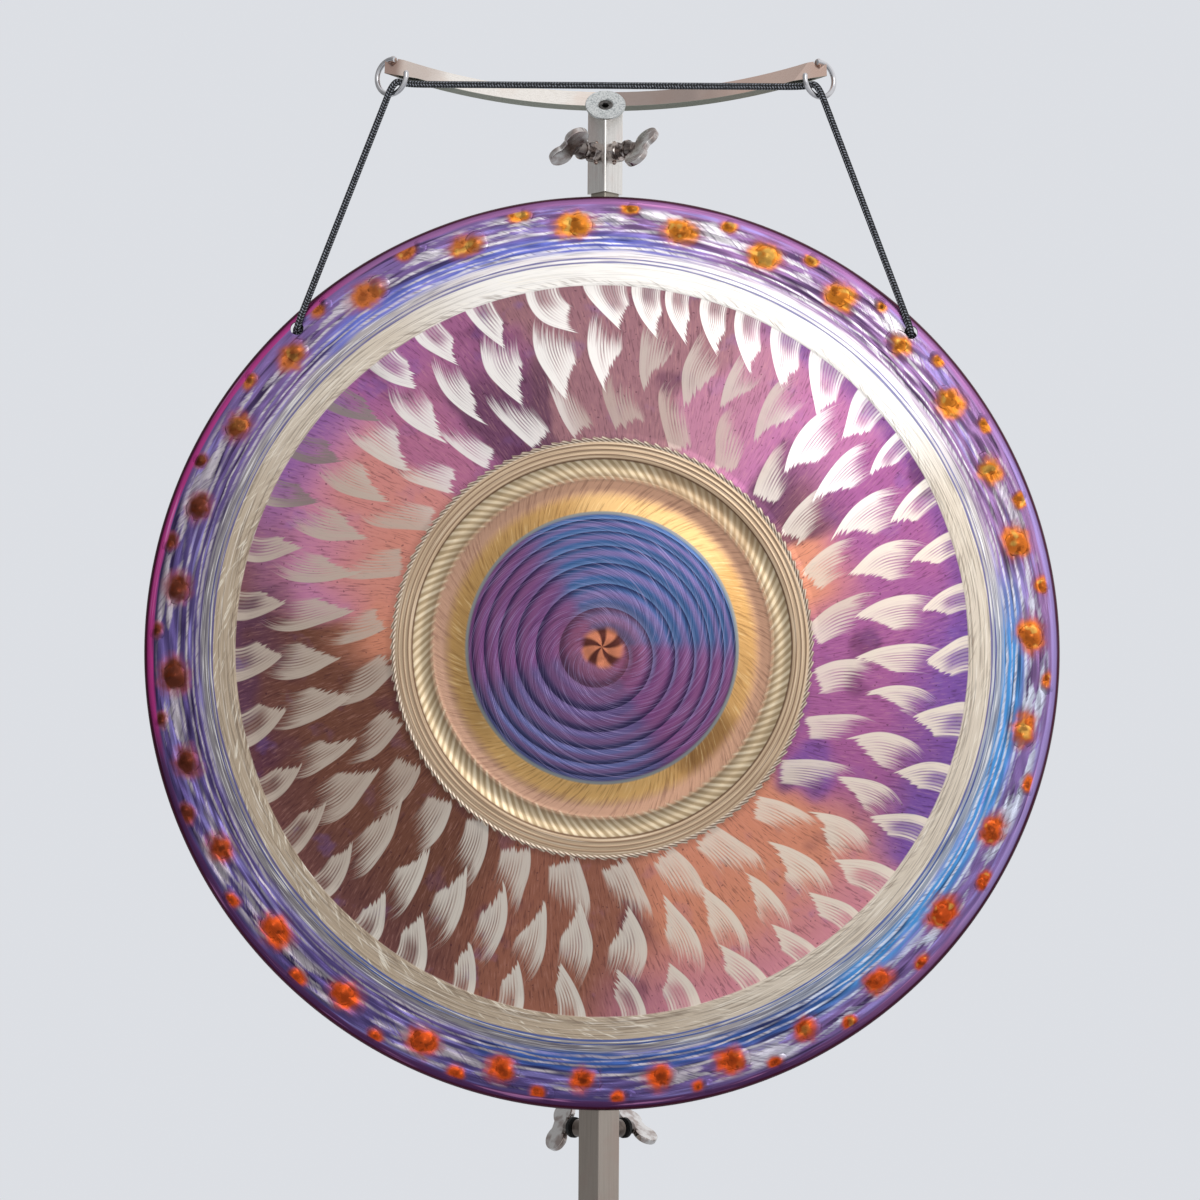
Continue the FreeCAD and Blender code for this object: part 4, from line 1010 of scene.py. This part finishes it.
def braid_tube(name, line, diameter, sides):
    """A round tube along a line, with its own map round and along it."""
    deselect()
    bpy.ops.mesh.primitive_circle_add(vertices=sides, radius=diameter / 2)
    ring = bpy.context.object
    shape = [vertex.co.copy() for vertex in ring.data.vertices]
    bpy.data.objects.remove(ring)
    tangents = []
    for index in range(len(line)):
        before, after = line[max(index - 1, 0)], line[min(index + 1, len(line) - 1)]
        tangents.append((after - before).normalized())
    frame_turn = tangents[0].to_track_quat("Z", "Y")
    built = bmesh.new()
    layer = built.loops.layers.uv.new("braid")
    rows, lengths, length = [], [], 0.0
    for index, (point, tangent) in enumerate(zip(line, tangents)):
        if index:
            frame_turn = tangents[index - 1].rotation_difference(tangent) @ frame_turn
            length += (point - line[index - 1]).length
        rows.append([built.verts.new(point + frame_turn @ corner) for corner in shape])
        lengths.append(length)
    for index in range(len(rows) - 1):
        for side in range(sides):
            other = (side + 1) % sides
            this, following = rows[index], rows[index + 1]
            face = built.faces.new((this[side], this[other], following[other], following[side]))
            marks = ((side, index), (side + 1, index), (side + 1, index + 1), (side, index + 1))
            for loop, (s, i) in zip(face.loops, marks):
                loop[layer].uv = (s / sides, lengths[i])
    for row, flip in ((rows[0], True), (rows[-1], False)):
        built.faces.new(list(reversed(row)) if flip else row)
    bmesh.ops.recalc_face_normals(built, faces=built.faces)
    mesh = bpy.data.meshes.new(name)
    built.to_mesh(mesh)
    built.free()
    obj = bpy.data.objects.new(name, mesh)
    bpy.context.scene.collection.objects.link(obj)
    pick(obj)
    bpy.ops.object.shade_smooth_by_angle(angle=math.radians(60))
    return obj


class OBJECT_OT_cord(bpy.types.Operator):
    """Hang the braided cord over both rings and knot it behind the gong"""
    bl_idname = "object.gong_cord"
    bl_label = "Cord"

    def execute(self, context):
        settings = context.scene.cord_settings
        line = cord_line()
        braid = cord_finish()
        knots = [self.knot(side, braid) for side in ("left", "right")]
        cord = braid_tube("suspension_cord", line, settings.diameter, settings.sides)
        dress(cord, braid)
        length = sum((b - a).length for a, b in zip(line, line[1:]))
        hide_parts("cord_level", "cord_drop_left", "cord_drop_right")
        tuple(line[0])
        [tuple(point) for point in line]
        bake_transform(cord)
        return {"FINISHED"}

    def knot(self, side, braid):
        """An overhand knot: a tight loop of the same braid over the stop."""
        low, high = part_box("cord_knot_" + side)
        middle = (low + high) / 2
        span = (high.x - low.x) / 2 - 0.0025
        line = []
        for number in range(97):
            turn = 2 * math.pi * number / 96
            reach = span * (0.62 + 0.38 * math.cos(3 * turn))
            line.append(Vector((middle.x + reach * math.cos(2 * turn), middle.y + 0.0030 * math.sin(3 * turn),
                                middle.z + reach * math.sin(2 * turn))))
        knot = braid_tube("cord_knot_braid_" + side, line, 0.0048, 16)
        dress(knot, braid)
        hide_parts("cord_knot_" + side)
        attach(knot, "gong")
        return knot


# Stand

def steel_finish(name, colour, dark, warm, lines=(2400.0, 2400.0, 20.0), roughness=0.30, relief=0.00004):
    """Ground steel: fine lines one way, soft stains and a few pits."""
    finish = Finish(name, roughness=roughness, metallic=1.0)
    x, y, z, place = finish.place()
    grain = finish.noise(finish.vector(x * lines[0], y * lines[1], z * lines[2]), 1.0, 3.0, 0.6)
    stain = finish.noise(place, 30.0, 3.0)
    pit = finish.noise(place, 700.0, 2.0)
    shade = finish.mix(colour, dark, finish.step(grain, 0.45, 0.70, 0.35))
    shade = finish.mix(shade, warm, finish.step(stain, 0.46, 0.66, 0.5))
    shade = finish.mix(shade, dark, finish.step(pit, 0.70, 0.78, 0.4))
    finish.colour(shade)
    finish.rough(roughness + (grain - 0.5) * 0.12)
    finish.bump(grain - finish.step(pit, 0.70, 0.78) * 0.6, relief, 0.6)
    return finish


def bow_finish():
    """The bow: cream at the left, painted shade and a painted copper reflection of the gong at the right,
    painted shade along its underside, and browner towards its left tip.
    """
    finish = steel_finish("ground_bow", (0.97, 0.95, 0.92), (0.78, 0.74, 0.69), (0.92, 0.84, 0.78),
                          lines=(20.0, 2400.0, 2400.0), roughness=0.24)
    x, y, z, place = finish.place()
    cloud = finish.noise(place, 22.0, 2.0) - 0.5
    right = finish.step(x + cloud * 0.08, 0.000, 0.012) * finish.step(x + cloud * 0.08, 0.130, 0.050)
    # Painted shade over the right half, and a painted copper reflection of the gong towards the right end.
    shade = finish.mix(finish.shade, (0.55, 0.47, 0.44), right * 0.85)
    shade = finish.mix(shade, (0.78, 0.60, 0.52), finish.step(x + cloud * 0.08, 0.050, 0.110, 0.6))
    shade = finish.mix(shade, (0.62, 0.50, 0.44), finish.step(x + cloud * 0.05, -0.115, -0.140, 0.5))
    up = (y - SEAT_PLACE[0]) * math.cos(SEAT_LEAN) + (z - SEAT_PLACE[1]) * math.sin(SEAT_LEAN)
    # Painted shade along the underside.
    shade = finish.mix(shade, (0.60, 0.62, 0.57), finish.step(up, -0.0001, -0.0004, 0.85))
    shade = finish.mix(shade, (0.40, 0.24, 0.20), finish.step(x + cloud * 0.02, -0.1500, -0.1560, 0.6))
    finish.colour(shade)
    return finish


def uneven_finish(name, scale, roughness, metallic, relief):
    """A finish with faint unevenness and no colour yet, its coordinates and its clouds."""
    finish = Finish(name, roughness=roughness, metallic=metallic)
    place = finish.place()[-1]
    cloud = finish.noise(place, scale, 3.0)
    fine = finish.noise(place, scale * 9.0, 2.0)
    finish.rough(roughness + (cloud - 0.5) * 0.12)
    finish.bump(cloud + fine * 0.3, relief, 0.5)
    return finish, place, cloud


def plain_finish(name, colour, other, scale, roughness, metallic, relief):
    """A moulded, cast or polished surface of two colours in clouds."""
    finish, _, cloud = uneven_finish(name, scale, roughness, metallic, relief)
    finish.colour(finish.mix(colour, other, finish.step(cloud, 0.42, 0.68)))
    return finish.material


def wing_finish():
    """Bright cast wings, with painted shade in the hollows and on the hub."""
    finish, place, _ = uneven_finish("cast_wing", 160.0, 0.20, 1.0, 0.0001)
    stain = finish.step(finish.noise(place, 130.0, 2.0), 0.36, 0.66)
    recess = Value(finish, finish.node("ShaderNodeAttribute", {"attribute_name": "recess"}).outputs["Fac"])
    painted_shade = finish.mix((0.46, 0.42, 0.40), (0.36, 0.32, 0.30), stain)
    bright = finish.mix((0.88, 0.87, 0.86), (0.68, 0.63, 0.61), stain)
    # Painted shade in the hollows and on the hub, by their mark.
    finish.colour(finish.mix(bright, painted_shade, recess * 0.9))
    return finish.material


def cast_wing(name, voxel):
    """One wing bolt on its own axis: shank, cone and two smooth wings cast in one."""
    deselect()
    bpy.ops.mesh.primitive_cylinder_add(vertices=48, radius=0.00395, depth=0.034, location=(0, 0, -0.0120))
    pieces = [bpy.context.object]
    deselect()
    bpy.ops.mesh.primitive_cone_add(vertices=48, radius1=0.0066, radius2=0.0046, depth=0.0060,
                                    location=(0, 0, 0.0030))
    pieces.append(bpy.context.object)
    blade = waisted_blade(0.0090, 0.0045, 0.0136, 0.0118)
    apply_modifier(blade, "BEVEL", width=0.0010, segments=3, limit_method="ANGLE")
    for face in (-1, 1):
        hollow = waisted_blade(0.0072, 0.0016, 0.0100, 0.0120)
        hollow.location.y = face * 0.00215
        apply_modifier(blade, "BOOLEAN", object=hollow, operation="DIFFERENCE", solver="EXACT")
        bpy.data.objects.remove(hollow)
    pieces.append(blade)
    obj = merged(pieces)
    obj.name = name
    apply_modifier(obj, "REMESH", mode="VOXEL", voxel_size=voxel, use_smooth_shade=True)
    apply_modifier(obj, "SMOOTH", factor=0.5, iterations=5)
    mark_recess(obj)
    return obj


def mark_recess(obj):
    """Mark the wings' hollow faces and the hub, where the finish paints shade."""
    marks = obj.data.attributes.new("recess", "FLOAT", "POINT")
    for vertex, mark in zip(obj.data.vertices, marks.data):
        hollow = abs(vertex.normal.y) > 0.85 and abs(vertex.co.y) < 0.0018
        hub = vertex.co.z < 0.0072 and math.hypot(vertex.co.x, vertex.co.y) < 0.0068
        mark.value = 1.0 if hollow or hub else 0.0


def waisted_blade(radius, thickness, waist, height):
    """Two round lobes and the waist between them, as one closed solid on the wings' own axis."""
    parts = []
    for side in (-1, 1):
        deselect()
        bpy.ops.mesh.primitive_cylinder_add(vertices=64, radius=radius, depth=thickness,
                                            location=(side * WING_REACH, 0, WING_RISE),
                                            rotation=(math.pi / 2, 0, 0))
        parts.append(bpy.context.object)
    deselect()
    bpy.ops.mesh.primitive_cube_add(size=1.0, location=(0, 0, height))
    parts.append(bpy.context.object)
    parts[-1].scale = (2 * WING_REACH, thickness, waist)
    for part in parts:
        settle(part)
    for part in parts[1:]:
        apply_modifier(parts[0], "BOOLEAN", object=part, operation="UNION", solver="EXACT")
        bpy.data.objects.remove(part)
    return parts[0]


def merged(pieces):
    """The pieces joined as one object, at the origin."""
    deselect()
    for piece in pieces:
        piece.select_set(True)
    bpy.context.view_layer.objects.active = pieces[0]
    bpy.ops.object.transform_apply(location=True, rotation=True, scale=True)
    bpy.ops.object.join()
    return bpy.context.object


class OBJECT_OT_wing_bolts(bpy.types.Operator):
    """Cast the five wing bolts"""
    bl_idname = "object.gong_wing_bolts"
    bl_label = "Wing bolts"

    def execute(self, context):
        settings = context.scene.stand_settings
        finish = wing_finish()
        master = cast_wing("wing_bolt_master", settings.voxel)
        for node, (body, direction, height, seat, tip, angle) in WING_BOLTS.items():
            bolt = master.copy()
            bolt.data = master.data.copy()
            bolt.name = node.replace("wing_bolt", "cast_wing")
            context.scene.collection.objects.link(bolt)
            outward = Matrix.Rotation(math.radians(direction), 4, "Z") @ Matrix.Rotation(math.pi / 2, 4, "Y")
            turned = Matrix.Rotation(math.radians(angle), 4, "Z")
            bolt.matrix_world = (Matrix.Translation((0, 0, height)) @ outward
                                 @ Matrix.Translation((0, 0, seat)) @ turned)
            self.trim(bolt, tip - seat)
            settle(bolt)
            dress(bolt, finish)
            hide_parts(node)
            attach(bolt, body)
        bpy.data.objects.remove(master)
        return {"FINISHED"}

    def trim(self, bolt, level):
        """Cut the shank off at the mast's face, at that level from the hub's foot."""
        pick(bolt)
        bpy.ops.object.mode_set(mode="EDIT")
        bpy.ops.mesh.select_all(action="SELECT")
        local = bolt.matrix_world @ Vector((0, 0, level))
        normal = bolt.matrix_world.to_3x3() @ Vector((0, 0, 1))
        bpy.ops.mesh.bisect(plane_co=local, plane_no=normal, use_fill=True, clear_inner=True)
        bpy.ops.object.mode_set(mode="OBJECT")


class OBJECT_OT_stand(bpy.types.Operator):
    """Finish the bow, rings, tubes, nuts, welds, washers and feet"""
    bl_idname = "object.gong_stand"
    bl_label = "Stand finishes"

    def execute(self, context):
        settings = context.scene.stand_settings
        steel, wire = tuple(settings.steel), tuple(settings.wire)
        made = {name: plain_finish(name, *look) for name, look in PLAIN_LOOKS.items()}
        made["polished_wire"] = plain_finish("polished_wire", wire, (0.78, 0.78, 0.79), 90.0, 0.12, 1.0,
                                             0.00002)
        tube = steel_finish("ground_tube", steel, (0.46, 0.44, 0.40), (0.60, 0.54, 0.50))
        lower = steel_finish("ground_mast", (0.70, 0.66, 0.62), (0.52, 0.49, 0.45), (0.68, 0.60, 0.56))
        sleeve = steel_finish("ground_sleeve", (0.92, 0.91, 0.89), (0.66, 0.62, 0.58), (0.88, 0.80, 0.77),
                              roughness=0.24)
        for finish in (tube, lower, sleeve, bow_finish()):
            made[finish.material.name] = finish.material
        for node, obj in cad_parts.items():
            for start, look in WORN.items():
                if node.startswith(start):
                    dress(obj, made[look])
                    break
        return {"FINISHED"}


class OBJECT_OT_stage(bpy.types.Operator):
    """Set the camera, the lights, the pale surroundings and the floor"""
    bl_idname = "object.gong_stage"
    bl_label = "Stage"

    def execute(self, context):
        settings = context.scene.stage_settings
        camera = bpy.data.objects.new("camera", bpy.data.cameras.new("camera"))
        camera.data.lens = CAMERA_LENS
        camera.data.sensor_width = 36.0
        camera.data.clip_end = 60.0
        camera.location = CAMERA_PLACE
        pitch, roll = (math.radians(angle) for angle in CAMERA_TURN)
        tilt = Matrix.Rotation(pitch, 4, "X") @ Matrix.Rotation(roll, 4, "Z")
        camera.rotation_euler = tilt.to_euler()
        context.scene.collection.objects.link(camera)
        context.scene.camera = camera
        self.light(context, "key", (0.85, -2.7, 2.12), 1.3, settings.key_power)
        self.light(context, "fill", (-2.2, -2.4, 1.6), 1.6, settings.key_power * 0.22)
        self.world(context, settings)
        deselect()
        bpy.ops.mesh.primitive_circle_add(vertices=96, radius=3.0, fill_type="NGON", location=(0, 0, -0.0005))
        floor = context.object
        floor.name = "floor"
        settle(floor)
        dress(floor, plain_finish("pale_floor", *FLOOR_LOOK))
        context.scene.view_settings.view_transform = "Standard"
        return {"FINISHED"}

    def light(self, context, name, place, size, power):
        lamp = bpy.data.lights.new(name, "AREA")
        lamp.shape = "SQUARE"
        lamp.size = size
        lamp.energy = power
        obj = bpy.data.objects.new(name, lamp)
        obj.location = place
        aim = Vector((0, 0, 1.05)) - Vector(place)
        obj.rotation_euler = aim.to_track_quat("-Z", "Y").to_euler()
        context.scene.collection.objects.link(obj)

    def world(self, context, settings):
        """A pale room: even light, the backdrop's colour behind, and darker sides for metal to mirror."""
        world = bpy.data.worlds.new("surroundings")
        world.use_nodes = True
        tree = world.node_tree
        tree.nodes.clear()

        def add(kind, **inputs):
            node = tree.nodes.new(kind)
            for name, value in inputs.items():
                socket = node.inputs[name.replace("_", " ")]
                if isinstance(value, bpy.types.NodeSocket):
                    tree.links.new(value, socket)
                else:
                    socket.default_value = value
            return node

        def fade(value, low, high, bottom, top):
            node = add("ShaderNodeMapRange", Value=value, From_Min=low, From_Max=high, To_Min=bottom,
                       To_Max=top)
            node.interpolation_type = "SMOOTHSTEP"
            return node.outputs[0]

        def times(first, second):
            node = tree.nodes.new("ShaderNodeMath")
            node.operation = "MULTIPLY"
            tree.links.new(first, node.inputs[0])
            tree.links.new(second, node.inputs[1])
            return node.outputs[0]

        path = add("ShaderNodeLightPath")
        way = add("ShaderNodeSeparateXYZ", Vector=add("ShaderNodeTexCoord").outputs["Generated"])
        side = fade(way.outputs[0], -0.80, 0.10, 0.38, 1.0)
        high = fade(way.outputs[2], -0.9, 0.4, 0.45, 1.0)
        room = add("ShaderNodeBackground", Color=linear((0.96, 0.96, 0.97)), Strength=settings.room_light)
        mirrored = add("ShaderNodeBackground", Color=linear((0.96, 0.96, 0.97)), Strength=times(side, high))
        seen = add("ShaderNodeBackground", Color=linear(settings.backdrop), Strength=1.0)
        lit = tree.nodes.new("ShaderNodeMixShader")
        tree.links.new(path.outputs["Is Glossy Ray"], lit.inputs[0])
        tree.links.new(room.outputs[0], lit.inputs[1])
        tree.links.new(mirrored.outputs[0], lit.inputs[2])
        blend = tree.nodes.new("ShaderNodeMixShader")
        tree.links.new(path.outputs["Is Camera Ray"], blend.inputs[0])
        tree.links.new(lit.outputs[0], blend.inputs[1])
        tree.links.new(seen.outputs[0], blend.inputs[2])
        tree.links.new(blend.outputs[0], tree.nodes.new("ShaderNodeOutputWorld").inputs[0])
        context.scene.world = world


class VIEW3D_PT_gong(bpy.types.Panel):
    """The gong's pieces in the sidebar"""
    bl_label = "Gong on a stand"
    bl_space_type = "VIEW_3D"
    bl_region_type = "UI"
    bl_category = "Gong"

    def draw(self, context):
        for group, operators in (("stage_settings", ("object.gong_stage",)),
                                 ("cord_settings", ("object.gong_cord",)),
                                 ("gong_settings", ("object.gong_disc",)),
                                 ("stand_settings", ("object.gong_wing_bolts", "object.gong_stand"))):
            box = self.layout.box()
            settings = getattr(context.scene, group)
            for name in settings.__annotations__:
                box.prop(settings, name)
            for operator in operators:
                box.operator(operator)


GROUPS = {"gong_settings": GongSettings, "cord_settings": CordSettings, "stand_settings": StandSettings,
          "stage_settings": StageSettings}
OPERATORS = (OBJECT_OT_stage, OBJECT_OT_cord, OBJECT_OT_gong, OBJECT_OT_wing_bolts, OBJECT_OT_stand)


def register():
    for group in GROUPS.values():
        bpy.utils.register_class(group)
    for name, group in GROUPS.items():
        setattr(bpy.types.Scene, name, PointerProperty(type=group))
    for operator in OPERATORS:
        bpy.utils.register_class(operator)
    bpy.utils.register_class(VIEW3D_PT_gong)


def unregister():
    bpy.utils.unregister_class(VIEW3D_PT_gong)
    for operator in reversed(OPERATORS):
        bpy.utils.unregister_class(operator)
    for name in GROUPS:
        delattr(bpy.types.Scene, name)
    for group in GROUPS.values():
        bpy.utils.unregister_class(group)


def main():
    register()
    bpy.ops.object.gong_stage()
    bpy.ops.object.gong_cord()
    bpy.ops.object.gong_disc()
    bpy.ops.object.gong_wing_bolts()
    bpy.ops.object.gong_stand()
    deselect()


if __name__ == "__main__":
    main()
